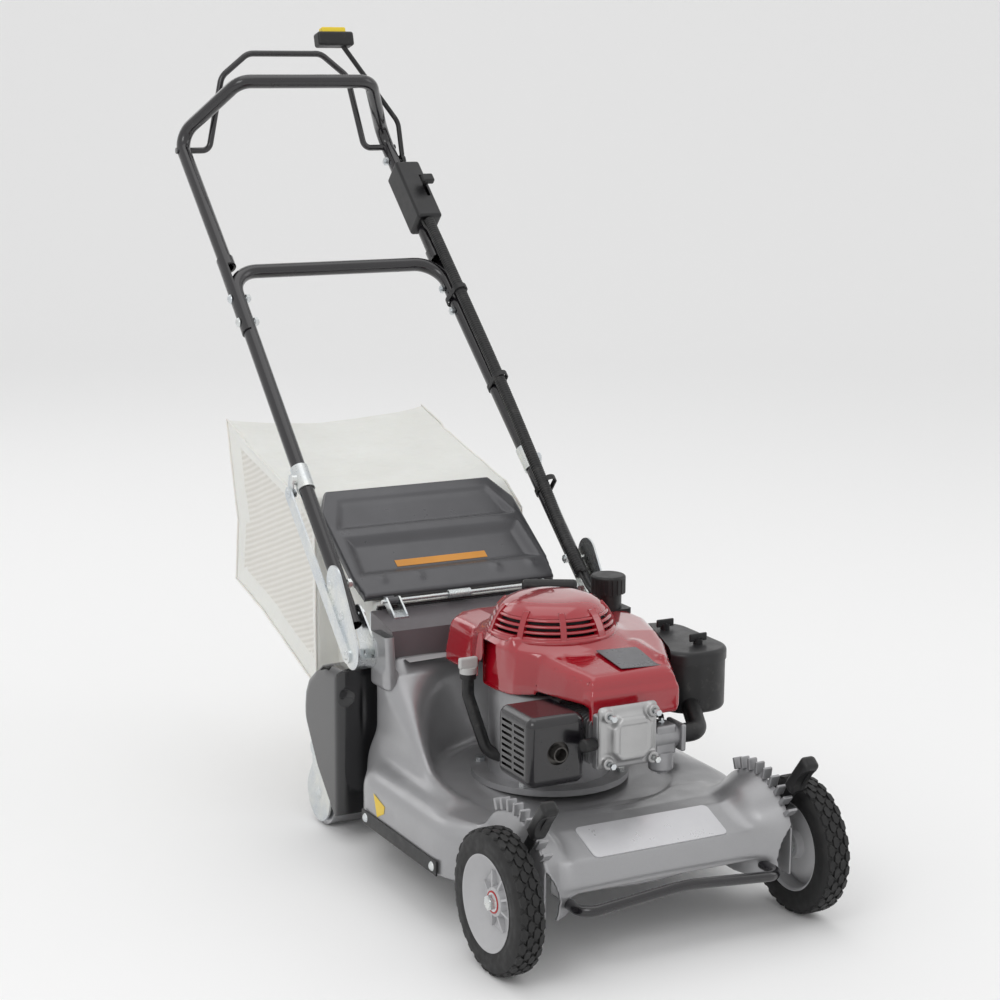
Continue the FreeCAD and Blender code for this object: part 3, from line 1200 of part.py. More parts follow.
def build_starter_drum():
    """The rope's reel under the dome."""
    drum = join([rod_z(0, CRANK_Y, COWL_Z1 + 14, COWL_Z1 + 34, ROPE_DRUM_R),
                 rod_z(0, CRANK_Y, COWL_Z1 + 12, COWL_Z1 + 15, ROPE_DRUM_R + 8),
                 rod_z(0, CRANK_Y, COWL_Z1 + 33, COWL_Z1 + 36, ROPE_DRUM_R + 8)])
    return drum.cut(rod_z(0, CRANK_Y, 0, CLEAR * 2, 6.0 + RUN_GAP))


NECK_X = 153.0
NECK_Y = 396.0
NECK_R = 21.0
CAP_Z = 392.0
CAP_TOP_Z = 420.0


def build_tank():
    body = plate_z([(-60, 394), (150, 394), (150, 374), (184, 374), (184, 410), (110, 470), (-60, 470)],
                   COWL_Z0 + 4, COWL_Z1 - 6, [10.0, 0, 4.0, 6.0, 12.0, 16.0, 16.0])
    neck = rod_z(NECK_X, NECK_Y, COWL_Z1 - 8, CAP_Z + 8, NECK_R)
    bore = rod_z(NECK_X, NECK_Y, COWL_Z0 + 8, CAP_Z + 20, NECK_R - 3)
    return join([body, neck]).cut(bore)


def build_fuel_cap():
    """A screw cap with a ribbed edge that sits over the neck."""
    cap = rod_z(NECK_X, NECK_Y, CAP_Z, CAP_TOP_Z, NECK_R + 6)
    cap = cap.makeFillet(4.0, top_edges(cap, CAP_TOP_Z))
    ribs = []
    for i in range(20):
        turn = math.radians(18 * i)
        x = NECK_X + (NECK_R + 6.4) * math.cos(turn)
        y = NECK_Y + (NECK_R + 6.4) * math.sin(turn)
        ribs.append(rod_z(x, y, CAP_Z - 1, CAP_TOP_Z - 5, 1.6))
    hollow = rod_z(NECK_X, NECK_Y, CAP_Z - 1, CAP_Z + 8.2, NECK_R + RUN_GAP)
    return cap.cut(ribs + [hollow])


OIL_X = -118.0
OIL_Y = 338.0
OIL_TOP_Z = 312.0
OIL_R = 10.0


def filler_tube_form(radius):
    """The oil filler's route: up beside the case, from its flange to above the housing's edge."""
    return bent_rod([vec(-70, 282, 186), vec(-104, 304, 200), vec(OIL_X, OIL_Y, OIL_TOP_Z - 34),
                     vec(OIL_X, OIL_Y, OIL_TOP_Z)], [0, 24.0, 30.0, 0], radius)


def build_filler_tube():
    tube = filler_tube_form(9.0).cut(filler_tube_form(7.0))
    collar = sleeve(vec(OIL_X, OIL_Y, OIL_TOP_Z - 8), vec(OIL_X, OIL_Y, OIL_TOP_Z), 12.0, 7.0)
    return join([tube, collar])


def build_oil_cap():
    cap = rod_z(OIL_X, OIL_Y, OIL_TOP_Z, OIL_TOP_Z + 9, 12.5)
    finger = soft_box(OIL_X - 15, OIL_X + 15, OIL_Y - 4.5, OIL_Y + 4.5, OIL_TOP_Z + 7, OIL_TOP_Z + 24, 3.0)
    stick = rod_z(OIL_X, OIL_Y, OIL_TOP_Z - 26, OIL_TOP_Z, 2.0)
    return join([cap, finger, stick])


CARB_X0 = HEAD_X + FIN_HALF_X
CARB_Y = 116.0
CARB_Z = 250.0
FILTER_X = 186.0
FILTER_Y = 255.0
FILTER_HALF_X = 52.0
FILTER_HALF_Y = 92.0
FILTER_Z0 = 256.0
FILTER_LID_Z = 332.0
FILTER_TOP_Z = 350.0


def build_carburettor():
    insulator = soft_box(CARB_X0, CARB_X0 + 12, CARB_Y - 22, CARB_Y + 22, CARB_Z - 18, CARB_Z + 18, 3.0)
    body = rod_x(CARB_X0 + 12, CARB_X0 + 64, CARB_Y, CARB_Z, 17.0)
    flange = soft_box(CARB_X0 + 58, CARB_X0 + 66, CARB_Y - 22, CARB_Y + 22, CARB_Z - 20, CARB_Z + 20, 3.0)
    bridge = soft_box(CARB_X0 + 20, CARB_X0 + 54, CARB_Y - 15, CARB_Y + 15, CARB_Z - 24, CARB_Z + 20, 4.0)
    bore = rod_x(CARB_X0 - 1, CARB_X0 + 80, CARB_Y, CARB_Z, 9.0)
    post = rod_z(CARB_X0 + 37, CARB_Y, 0, CLEAR, 3.0 + RUN_GAP)
    return join([insulator, body, flange, bridge]).cut([bore, post, carb_bowl_form()])


def carb_bowl_form():
    return rod_z(CARB_X0 + 37, CARB_Y, CARB_Z - 50, CARB_Z - 20, 18.0)


def build_carb_bowl():
    bowl = carb_bowl_form()
    bowl = bowl.makeFillet(6.0, top_edges(bowl, CARB_Z - 50))
    drain = hexagon(vec(CARB_X0 + 37, CARB_Y, CARB_Z - 50), Z_AXIS * -1, 10.0, 5.0)
    return join([bowl, drain])


def build_throttle_arm():
    """The throttle's spindle with its arm on top of the carburettor."""
    spindle = rod_z(CARB_X0 + 37, CARB_Y, CARB_Z + 10, CARB_Z + 28, 3.0)
    arm = box(-4, 26, -4, 4, 0, 2)
    arm.rotate(ORIGIN, Z_AXIS, 60)
    arm.translate(vec(CARB_X0 + 37, CARB_Y, CARB_Z + 22))
    return join([spindle, arm])


def filter_oval(x0, x1, y0, y1, z0, z1, radius):
    return plate_z([(x0, y0), (x1, y0), (x1, y1), (x0, y1)], z0, z1, radius)


def build_filter_case():
    x0, x1 = FILTER_X - FILTER_HALF_X, FILTER_X + FILTER_HALF_X
    y0, y1 = FILTER_Y - FILTER_HALF_Y, FILTER_Y + FILTER_HALF_Y
    outer = filter_oval(x0, x1, y0, y1, FILTER_Z0, FILTER_LID_Z, 46.0)
    outer = outer.makeFillet(8.0, top_edges(outer, FILTER_Z0))
    inner = filter_oval(x0 + 2.5, x1 - 2.5, y0 + 2.5, y1 - 2.5, FILTER_Z0 + 2.5, FILTER_LID_Z + 1, 43.5)
    return outer.cut([inner, intake_form(14.0), cowl_form(-SKIN_GAP, COWL_Z0 - 1)])


def build_filter_lid():
    x0, x1 = FILTER_X - FILTER_HALF_X - 1.5, FILTER_X + FILTER_HALF_X + 1.5
    y0, y1 = FILTER_Y - FILTER_HALF_Y - 1.5, FILTER_Y + FILTER_HALF_Y + 1.5
    lid = filter_oval(x0, x1, y0, y1, FILTER_LID_Z, FILTER_TOP_Z, 47.0)
    lid = lid.makeFillet(7.0, top_edges(lid, FILTER_TOP_Z))
    studs = [rod_z(x, y, FILTER_LID_Z - 5, FILTER_TOP_Z + 5, 3.0) for x, y in filter_studs()]
    return lid.cut(studs + [cowl_form(-SKIN_GAP, COWL_Z0 - 1)])


def filter_studs():
    return [(FILTER_X + 12, FILTER_Y - 46), (FILTER_X + 12, FILTER_Y + 46)]


def build_filter_foam():
    x0, x1 = FILTER_X - 4, FILTER_X + FILTER_HALF_X - 8
    y0, y1 = FILTER_Y - FILTER_HALF_Y + 10, FILTER_Y + FILTER_HALF_Y - 10
    foam = filter_oval(x0, x1, y0, y1, FILTER_Z0 + 16, FILTER_LID_Z - 2, 20.0)
    studs = [rod_z(x, y, 0, CLEAR, 3.5) for x, y in filter_studs()]
    return foam.cut(studs + [intake_form(14.0), cowl_form(-SKIN_GAP, COWL_Z0 - 1), build_filter_case()])


def build_wing_nuts():
    """Two studs with wing nuts that hold the filter's lid."""
    nuts = []
    for x, y in filter_studs():
        stud = rod_z(x, y, FILTER_Z0 + 2.5, FILTER_TOP_Z + 10, 3.0)
        hub = rod_z(x, y, FILTER_TOP_Z, FILTER_TOP_Z + 8, 7.0)
        wings = soft_box(x - 15, x + 15, y - 2, y + 2, FILTER_TOP_Z + 4, FILTER_TOP_Z + 16, 1.9)
        nuts.append(join([stud, hub, wings]))
    return nuts


def intake_form(radius):
    return bent_rod([vec(CARB_X0 + 66, CARB_Y, CARB_Z), vec(CARB_X0 + 100, CARB_Y, CARB_Z),
                     vec(FILTER_X - 14, FILTER_Y - FILTER_HALF_Y + 30, CARB_Z + 26)], [0, 20.0, 0], radius)


def build_intake():
    return intake_form(14.0).cut(intake_form(11.5))


add("crankcase", build_crankcase())
add("fasteners", *build_engine_bolts(), *build_rocker_bolts())
add("cylinder", build_cylinder())
add("rocker_cover", build_rocker_cover())
add("spark_plug", plug_form(0.0), build_plug_cap())
add("muffler", build_muffler())
add("muffler_guard", build_muffler_guard())
add("engine_cowl", build_cowl())
add("starter_dome", build_dome(), build_rope_outlet())
add("starter_grip", build_starter_grip())
add("starter_drum", build_starter_drum())
add("fuel_tank", build_tank())
add("fuel_cap", build_fuel_cap())
add("oil_filler", build_filler_tube())
add("oil_cap", build_oil_cap())
add("carburettor", build_carburettor(), build_carb_bowl())
add("throttle_arm", build_throttle_arm())
add("air_filter_case", build_filter_case(), build_intake())
add("air_filter_lid", build_filter_lid(), *build_wing_nuts())
add("air_filter_foam", build_filter_foam())


# ---- controls on the handle --------------------------------------------------------------------
BOX_Y = 1187.0
BOX_X = (176.0, 224.0)
BOX_HALF = 68.0
BOX_Z = (-16.0, 36.0)
THROTTLE_X = 212.0
THROTTLE_SPOT = (6.0, 6.0)
THROTTLE_PIN_R = 3.0


def build_control_box():
    """A housing round the leg, with a slot for the throttle and a pin inside for it to turn on."""
    case = soft_box(BOX_X[0], BOX_X[1], -BOX_HALF, BOX_HALF, BOX_Z[0], BOX_Z[1], 6.0)
    hollow = box(BOX_X[0] + 2.5, BOX_X[1] - 2.5, -BOX_HALF + 2.5, BOX_HALF - 2.5,
                 BOX_Z[0] + 2.5, BOX_Z[1] - 2.5)
    slot = box(THROTTLE_X - 1.5, THROTTLE_X + 4.5, -20, 32, BOX_Z[1] - 8, BOX_Z[1] + 5)
    pin = rod_x(THROTTLE_X - 5, BOX_X[1] - 2.5, THROTTLE_SPOT[0], THROTTLE_SPOT[1], THROTTLE_PIN_R)
    cables = [rod_y(x, -CLEAR, -BOX_HALF + 10, CABLE_EXIT_Z, CABLE_R) for x in CABLE_XS]
    leg = rod_y(CROSS_X, -CLEAR, CLEAR, 0, TUBE_R)
    return on_leg(join([case.cut([hollow, slot]), pin]).cut(cables + [leg]), BOX_Y)


def build_throttle_lever():
    hub = rod_x(THROTTLE_X, THROTTLE_X + 3, THROTTLE_SPOT[0], THROTTLE_SPOT[1], 8.0)
    stem = box(THROTTLE_X, THROTTLE_X + 3, THROTTLE_SPOT[0] - 4, THROTTLE_SPOT[0] + 4, THROTTLE_SPOT[1], 48)
    knob = soft_box(THROTTLE_X - 10, THROTTLE_X + 13, THROTTLE_SPOT[0] - 9, THROTTLE_SPOT[0] + 9, 46, 58, 3.5)
    bore = rod_x(0, CLEAR, THROTTLE_SPOT[0], THROTTLE_SPOT[1], THROTTLE_PIN_R + RUN_GAP)
    return on_leg(join([hub, stem, knob]).cut(bore), BOX_Y)


LEVER_HUB_X = CROSS_X + TUBE_R + SEAT_GAP
LEVER_LEAN = 16.0
HEAD_X0 = 72.0
HEAD_X1 = 142.0
BUTTON_TRAVEL = 5.0


def lean_lever(shape):
    placed = shape.copy()
    placed.rotate(ORIGIN, X_AXIS, -LEVER_LEAN)
    placed.translate(vec(0, LEVER_Y, leg_point(LEVER_Y).z))
    return placed


def build_blade_lever():
    """Drawn upright from its pivot: hub, arm that leans inwards, and a head with a button in it."""
    hub = rod_x(LEVER_HUB_X, LEVER_HUB_X + 7, 0, 0, 11.0)
    arm_x = LEVER_HUB_X + 5.5
    arm = bent_rod([vec(arm_x, 0, 4), vec(arm_x, 0, 72), vec(HEAD_X1 - 24, 0, 222)], [0, 34.0, 0], 4.5)
    head = soft_box(HEAD_X0, HEAD_X1, -13, 13, 212, 238, 5.0)
    pocket = box(HEAD_X0 + 10, HEAD_X1 - 12, -8, 8, 222, 240)
    return lean_lever(join([hub, arm, head]).cut([pocket, rod_x(0, CLEAR, 0, 0, BOLT_R + RUN_GAP),
                                                     rod_x(LEVER_HUB_X + 7, CLEAR, 0, 0, 11.0)]))


def build_blade_button():
    return lean_lever(soft_box(HEAD_X0 + 10.5, HEAD_X1 - 12.5, -7.5, 7.5, 222.5 + BUTTON_TRAVEL, 247, 2.5))


def build_lever_screw():
    pivot_z = leg_point(LEVER_Y).z
    outer = vec(LEVER_HUB_X + 7 + SKIN_GAP, LEVER_Y, pivot_z)
    inner = vec(CROSS_X - TUBE_R - SEAT_GAP, LEVER_Y, pivot_z)
    screw = dome_screw(outer, X_AXIS, 8.5, 4.5, BOLT_R, outer.x - inner.x + 8)
    return [screw, nut(inner, X_AXIS * -1, 13.0, 6.0, BOLT_R)]


# ---- cables and hoses --------------------------------------------------------------------------
CABLE_R = 2.2
CABLE_XS = (186.0, 197.0, 208.0)
CABLE_EXIT_Z = 24.0
CONDUIT_R = 10.0
CONDUIT_LIFT = 27.0
OFF_LEG = vec(0, -math.sin(math.radians(HANDLE_SLOPE)), math.cos(math.radians(HANDLE_SLOPE)))


def over_leg(y, x, lift=CONDUIT_LIFT):
    """A point that stands off the upper side of the +X leg."""
    spot = leg_point(y) + OFF_LEG * lift
    return vec(x, spot.y, spot.z)


CONDUIT_ROUTE = [over_leg(1107, 197.0), over_leg(1014, 198.0), over_leg(866, 199.0), over_leg(700, 194.0),
                 over_leg(612, 187.5, 28.0), over_leg(560, 187.0, 33.0)]


def build_conduit():
    bends = [0, 300.0, 300.0, 300.0, 120.0, 0]
    return bent_tube(CONDUIT_ROUTE, bends, CONDUIT_R, 1.6)


def build_control_cables():
    """Three thin cables from the control box, gathered into the conduit."""
    cables = []
    for x in CABLE_XS:
        inner_x = CROSS_X + (x - CROSS_X) * 0.42
        route = [vec(x, -BOX_HALF + 8, CABLE_EXIT_Z), vec(x, -BOX_HALF - 14, CABLE_EXIT_Z),
                 vec(inner_x, -BOX_HALF - 34, CONDUIT_LIFT), vec(inner_x, -BOX_HALF - 62, CONDUIT_LIFT)]
        cables.append(on_leg(bent_rod(route, [0, 18.0, 18.0, 0], CABLE_R), BOX_Y))
    return cables


def build_engine_cables():
    """Two cables from the conduit's lower end, past the housing to the carburettor and the brake."""
    start = CONDUIT_ROUTE[-1] + UP_LEG * 20
    cables = []
    for shift in (-3.6, 3.6):
        route = [start + vec(shift, 0, 0), over_leg(538, 188.0 + shift, 35.0), vec(198 + shift, 486, 352),
                 vec(206 + shift, 430, 294), vec(176 + shift, 352, 246), vec(124 + shift, 236, 236),
                 vec(104 + shift, 160, 262 + shift)]
        cables.append(bent_rod(route, [0, 30.0, 50.0, 60.0, 60.0, 50.0, 0], CABLE_R))
    return cables


def build_fuel_hose():
    return bent_rod([vec(165, 396, COWL_Z0 + 4), vec(165, 396, 268), vec(138, 330, 234), vec(106, 220, 226),
                     vec(84, 168, 246), vec(79, CARB_Y + 17, 248)], [0, 24.0, 45.0, 45.0, 20.0, 0], 3.5).cut(
                         rod_x(CARB_X0, CARB_X0 + 80, CARB_Y, CARB_Z, 17.0))


def build_cable_clips():
    """Straps round the leg and the conduit together."""
    clips = []
    for y, leg_r in ((1013.0, 15.2), (866.0, TUBE_R + 0.3), (700.0, TUBE_R + 0.3)):
        spot = leg_point(y)
        tube_spot = over_leg(y, spot.x)
        strap = join([rod(spot - UP_LEG * 4, spot + UP_LEG * 4, leg_r + 1.6),
                      rod(tube_spot - UP_LEG * 4, tube_spot + UP_LEG * 4, CONDUIT_R + 5)])
        strap = strap.cut([rod(leg_point(y - 40), leg_point(y + 40), leg_r), conduit_form(0.3)])
        clips.append(strap)
    return clips


def conduit_form(extra):
    return sweep(rounded_path(CONDUIT_ROUTE, [0, 300.0, 300.0, 300.0, 120.0, 0]), CONDUIT_R + extra)


add("control_box", build_control_box())
add("throttle_lever", build_throttle_lever())
add("blade_lever", build_blade_lever())
add("blade_button", build_blade_button())
add("fasteners", *build_lever_screw())
add("cable_conduit", build_conduit(), *build_cable_clips())
add("cables_and_hose", *build_control_cables(), *build_engine_cables(), build_fuel_hose())

# ---- grass bag ---------------------------------------------------------------------------------
BAG_X = 188.0
BAG_NECK_X = 150.0
BAG_FRONT_Y = PLATE_REAR_Y + 6.0
BAG_NECK_Y = 742.0
BAG_REAR_Y = 1128.0
BAG_TOP_Z = 575.0
BAG_WALL = 2.5


def under_lid(y):
    """The height just below the lid's turned-down edge."""
    slope = math.radians(LID_SLOPE)
    return LID_HINGE_Z + (y - LID_HINGE_Y) * math.tan(slope) - (LID_EDGE + 3) / math.cos(slope)


def bag_form(inset):
    w = inset
    mouth = BAG_FRONT_Y - (10.0 if inset else 0.0)
    neck = [(mouth, CHUTE_Z0 - 5 + w), (BAG_NECK_Y + 20, CHUTE_Z0 - 2 + w),
            (BAG_NECK_Y + 20, under_lid(BAG_NECK_Y + 20) - w), (mouth, under_lid(BAG_FRONT_Y) - w)]
    body = [(BAG_NECK_Y + w, CHUTE_Z0 + w), (969, 273 + w), (BAG_REAR_Y - 34 - w, 302 + w),
            (BAG_REAR_Y - 50 - w, 410), (BAG_REAR_Y - w * 1.5, BAG_TOP_Z - w * 2), (812, 497 - w),
            (798, under_lid(798) - w), (BAG_NECK_Y + w, under_lid(BAG_NECK_Y) - w)]
    return join([plate_x(neck, -BAG_NECK_X + w, BAG_NECK_X - w),
                 plate_x(body, -BAG_X + w, BAG_X - w, [8.0, 40.0, 12.0, 30.0, 6.0, 8.0, 8.0, 8.0])])


def build_bag_frame():
    """A flat steel frame that holds the bag's mouth against the rear plate."""
    top = under_lid(BAG_FRONT_Y)
    outer = [(-BAG_NECK_X, CHUTE_Z0 - 5), (BAG_NECK_X, CHUTE_Z0 - 5), (BAG_NECK_X, top), (-BAG_NECK_X, top)]
    inner = [(-CHUTE_X, CHUTE_Z0), (CHUTE_X, CHUTE_Z0), (CHUTE_X, top - 8), (-CHUTE_X, top - 8)]
    return plate_y(outer, BAG_FRONT_Y - 4, BAG_FRONT_Y, 6.0).cut(plate_y(inner, 0, CLEAR * 3, 6.0))


add("grass_bag", bag_form(0.0).cut(bag_form(BAG_WALL)))
add("bag_frame", build_bag_frame())

# ---- write everything, with the origin under the middle of the machine ---------------------------
nodes = {name: shapes[0] if len(shapes) == 1 else Part.makeCompound(shapes)
         for name, shapes in pieces_of.items()}
whole = Part.makeCompound(list(nodes.values())).optimalBoundingBox()
MIDDLE_Y = (whole.YMin + whole.YMax) / 2
TO_ORIGIN = vec(0, -MIDDLE_Y, 0)

if __name__ == "__main__":
    os.makedirs("parts", exist_ok=True)
    for name, shape in nodes.items():
        placed = shape.copy()
        placed.translate(TO_ORIGIN)
        placed.exportStep("parts/" + name + ".step")
    print(len(nodes), "nodes, middle at y =", round(MIDDLE_Y, 2))
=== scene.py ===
"""Looks for the walk-behind mower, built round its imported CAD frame. Drawn in millimetres as the CAD is."""
import bpy
import json
import math
import numpy as np
from mathutils import Matrix, Vector, noise


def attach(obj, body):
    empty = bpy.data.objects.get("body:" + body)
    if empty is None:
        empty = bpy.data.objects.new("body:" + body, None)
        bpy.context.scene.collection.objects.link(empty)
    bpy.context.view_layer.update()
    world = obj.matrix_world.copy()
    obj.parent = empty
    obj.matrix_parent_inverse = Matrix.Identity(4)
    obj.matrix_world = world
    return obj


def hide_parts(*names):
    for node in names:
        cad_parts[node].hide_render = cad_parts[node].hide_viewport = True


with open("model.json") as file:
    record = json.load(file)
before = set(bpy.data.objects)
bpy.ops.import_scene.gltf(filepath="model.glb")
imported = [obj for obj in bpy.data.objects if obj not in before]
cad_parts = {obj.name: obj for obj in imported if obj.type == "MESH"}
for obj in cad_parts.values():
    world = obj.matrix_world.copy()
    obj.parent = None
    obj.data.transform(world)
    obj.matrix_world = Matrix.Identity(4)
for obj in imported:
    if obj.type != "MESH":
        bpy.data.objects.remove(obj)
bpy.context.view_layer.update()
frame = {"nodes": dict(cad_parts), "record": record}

MIDDLE_Y = 619.46          # the CAD's origin, behind the front axle it is drawn from
MM = 0.001
X_AXIS = Vector((1, 0, 0))
CRANK_Y = 300.0            # the crankshaft, with the deck's round front and rear about it
AXLE_Z = 100.0             # the front axle's height at rest
WHEEL_X = 243.0            # middle of a front wheel
TREAD_R = 99.6
COWL_ROOF_Z = 380
HINGE_Y, HINGE_Z = 578, 368
BAG_HALF = 188             # half the bag's width
NECK_HALF = 148            # half the width of the bag's neck
NECK_Y0, NECK_Y1 = 592, 752


def at(x, y, z):
    return Vector((x, y - MIDDLE_Y, z)) * MM


# ---- camera, light and floor -------------------------------------------------------------------
def make_camera():
    data = bpy.data.cameras.new("camera")
    cam = bpy.data.objects.new("camera", data)
    bpy.context.scene.collection.objects.link(cam)
    forward = Vector((0.46046, 0.86338, -0.20629))
    right = Vector((0.88310, -0.46912, 0.00777))
    up = right.cross(forward)
    turn = Matrix((right, up, -forward)).transposed()
    cam.matrix_world = Matrix.Translation(at(-1553.5, -2473.2, 1220.4)) @ turn.to_4x4()
    data.sensor_width = 36.0
    data.lens = 80.27
    data.shift_x = -0.0076
    data.shift_y = 0.0114
    data.clip_start = 0.05
    data.clip_end = 60.0
    bpy.context.scene.camera = cam


def area_light(name, place, aim, size, power, colour=(1, 1, 1)):
    data = bpy.data.lights.new(name, "AREA")
    data.shape = "RECTANGLE"
    data.size, data.size_y = size
    data.energy = power
    data.color = colour
    lamp = bpy.data.objects.new(name, data)
    bpy.context.scene.collection.objects.link(lamp)
    lamp.location = place
    lamp.rotation_mode = "QUATERNION"
    lamp.rotation_quaternion = (Vector(aim) - Vector(place)).to_track_quat("-Z", "Y")


def make_stage():
    """Plain white studio: four soft lights and a floor that curves up into a wall behind the machine."""
    scene = bpy.context.scene
    scene.view_settings.view_transform = "Standard"
    world = bpy.data.worlds.new("studio")
    world.use_nodes = True
    scene.world = world
    world.node_tree.nodes["Background"].inputs["Color"].default_value = (1.0, 1.0, 1.0, 1)
    world.node_tree.nodes["Background"].inputs["Strength"].default_value = 0.80
    area_light("key", (-2.6, -2.2, 3.2), (0, 0, 0.3), (1.6, 1.6), 24)
    area_light("fill", (3.2, -1.4, 2.2), (0, 0, 0.3), (1.4, 2.2), 9)
    area_light("top", (0.2, 0.3, 3.6), (0, 0, 0), (2.6, 2.6), 14)
    area_light("back", (-0.8, 3.4, 2.6), (0, 0, 0.5), (2.0, 1.4), 9)
    ahead, across = Vector((0.4706, 0.8824, 0)), Vector((0.8824, -0.4706, 0))
    reach, bend, height = 5.0, 3.0, 9.0
    profile = [(-14.0, 0.0)]
    for k in range(25):
        turn = math.pi / 2 * k / 24
        profile.append((reach + bend * math.sin(turn), bend * (1 - math.cos(turn))))
    profile.append((reach + bend, height))
    points = [ahead * out + across * side + Vector((0, 0, up - 0.0005)) for side in (-14.0, 14.0)
              for out, up in profile]
    count = len(profile)
    mesh = bpy.data.meshes.new("floor")
    mesh.from_pydata(points, [], [(k, k + count, k + 1 + count, k + 1) for k in range(count - 1)])
    mesh.shade_smooth()
    floor = bpy.data.objects.new("floor", mesh)
    scene.collection.objects.link(floor)
    mat = bpy.data.materials.new("floor")
    mat.use_nodes = True
    shader = mat.node_tree.nodes["Principled BSDF"]
    shader.inputs["Base Color"].default_value = (0.93, 0.93, 0.93, 1)
    shader.inputs["Roughness"].default_value = 0.9
    mesh.materials.append(mat)


# ---- materials ---------------------------------------------------------------------------------
class Graph:
    """A few short ways to add nodes to one material."""

    def __init__(self, name):
        self.mat = bpy.data.materials.new(name)
        self.mat.use_nodes = True
        self.tree = self.mat.node_tree
        self.shader = self.tree.nodes["Principled BSDF"]
        self.coords = self.tree.nodes.new("ShaderNodeTexCoord").outputs["Object"]

    def node(self, kind, **values):
        made = self.tree.nodes.new(kind)
        for key, value in values.items():
            setattr(made, key, value)
        return made

    def link(self, source, target):
        self.tree.links.new(source, target)

    def scaled(self, x, y, z, source=None):
        mapping = self.node("ShaderNodeMapping")
        mapping.inputs["Scale"].default_value = (x, y, z)
        self.link(source or self.coords, mapping.inputs["Vector"])
        return mapping.outputs["Vector"]

    def noise(self, scale, detail=3.0, vector=None, rough=0.5):
        made = self.node("ShaderNodeTexNoise")
        made.inputs["Scale"].default_value = scale
        made.inputs["Detail"].default_value = detail
        made.inputs["Roughness"].default_value = rough
        self.link(vector or self.coords, made.inputs["Vector"])
        return made.outputs["Fac"]

    def ramp(self, source, low, high, out_low, out_high):
        made = self.node("ShaderNodeMapRange")
        for key, value in (("From Min", low), ("From Max", high), ("To Min", out_low), ("To Max", out_high)):
            made.inputs[key].default_value = value
        self.link(source, made.inputs["Value"])
        return made.outputs["Result"]

    def math(self, what, a, b):
        made = self.node("ShaderNodeMath", operation=what)
        for socket, value in zip(made.inputs, (a, b)):
            if isinstance(value, (int, float)):
                socket.default_value = value
            else:
                self.link(value, socket)
        return made.outputs[0]

    def blend(self, factor, low, high):
        made = self.node("ShaderNodeMix", data_type="RGBA")
        self.link(factor, made.inputs["Factor"])
        for socket, colour in ((made.inputs["A"], low), (made.inputs["B"], high)):
            if isinstance(colour, tuple):
                socket.default_value = (*colour, 1)
            else:
                self.link(colour, socket)
        return made.outputs["Result"]

    def colour(self, source):
        self.link(source, self.shader.inputs["Base Color"])

    def rough(self, source):
        self.link(source, self.shader.inputs["Roughness"])

    def set(self, **values):
        for key, value in values.items():
            self.shader.inputs[key.replace("_", " ")].default_value = value

    def bump(self, height, strength, distance=0.0005, below=None):
        made = self.node("ShaderNodeBump")
        made.inputs["Strength"].default_value = strength
        made.inputs["Distance"].default_value = distance
        self.link(height, made.inputs["Height"])
        if below is not None:
            self.link(below, made.inputs["Normal"])
        self.link(made.outputs["Normal"], self.shader.inputs["Normal"])
        return made.outputs["Normal"]


def shade(colour, share):
    return tuple(min(1.0, c * share) for c in colour)


def finish_of(name, colour, rough, vary=0.12, spread=0.2, grain=1500.0, grain_bump=0.05, blotch=7.0,
              orange=0.0, dust=0.0, **fixed):
    """Colour that drifts a little, roughness in patches, a fine grain, and a little dust in the patches."""
    g = Graph(name)
    broad = g.noise(blotch, 4.0, rough=0.6)
    tint = g.blend(g.ramp(broad, 0.3, 0.7, 0, 1), shade(colour, 1 - vary), shade(colour, 1 + vary))
    if dust:
        speck = g.ramp(g.noise(60.0, 6.0, rough=0.7), 0.55, 0.8, 0.0, dust)
        tint = g.blend(speck, tint, (0.35, 0.33, 0.30))
    g.colour(tint)
    patches = g.noise(blotch * 6, 5.0, rough=0.65)
    g.rough(g.ramp(patches, 0.3, 0.7, rough * (1 - spread), rough * (1 + spread)))
    normal = g.bump(g.noise(grain, 2.0), grain_bump, 0.0003)
    if orange:
        g.bump(g.noise(240.0, 2.0), orange, 0.0006, normal)
    g.set(**fixed)
    return g.mat


def brushed(name, colour, rough, along=(4.0, 4.0, 900.0), tone=0.1, **fixed):
    g = Graph(name)
    lines = g.noise(1.0, 4.0, g.scaled(*along), 0.6)
    cloud = g.noise(26.0, 5.0, rough=0.6)
    g.colour(g.blend(g.ramp(cloud, 0.3, 0.7, 0, 1), shade(colour, 1 - tone), shade(colour, 1 + tone)))
    g.rough(g.ramp(cloud, 0.3, 0.75, rough * 0.8, rough * 1.35))
    g.bump(lines, 0.08, 0.0002)
    g.set(Metallic=1.0, **fixed)
    return g.mat


def zinc_finish():
    """Bright bluish zinc with a faint crystal pattern and warm patches."""
    g = Graph("zinc")
    cells = g.node("ShaderNodeTexVoronoi")
    cells.inputs["Scale"].default_value = 260.0
    g.link(g.coords, cells.inputs["Vector"])
    cloud = g.noise(24.0, 4.0, rough=0.6)
    base = g.blend(g.ramp(cloud, 0.3, 0.7, 0, 1), (0.60, 0.64, 0.68), (0.78, 0.79, 0.76))
    g.colour(base)
    g.rough(g.ramp(cells.outputs["Distance"], 0.0, 0.8, 0.22, 0.38))
    g.bump(g.noise(700.0, 3.0), 0.06, 0.0003)
    g.set(Metallic=1.0)
    return g.mat


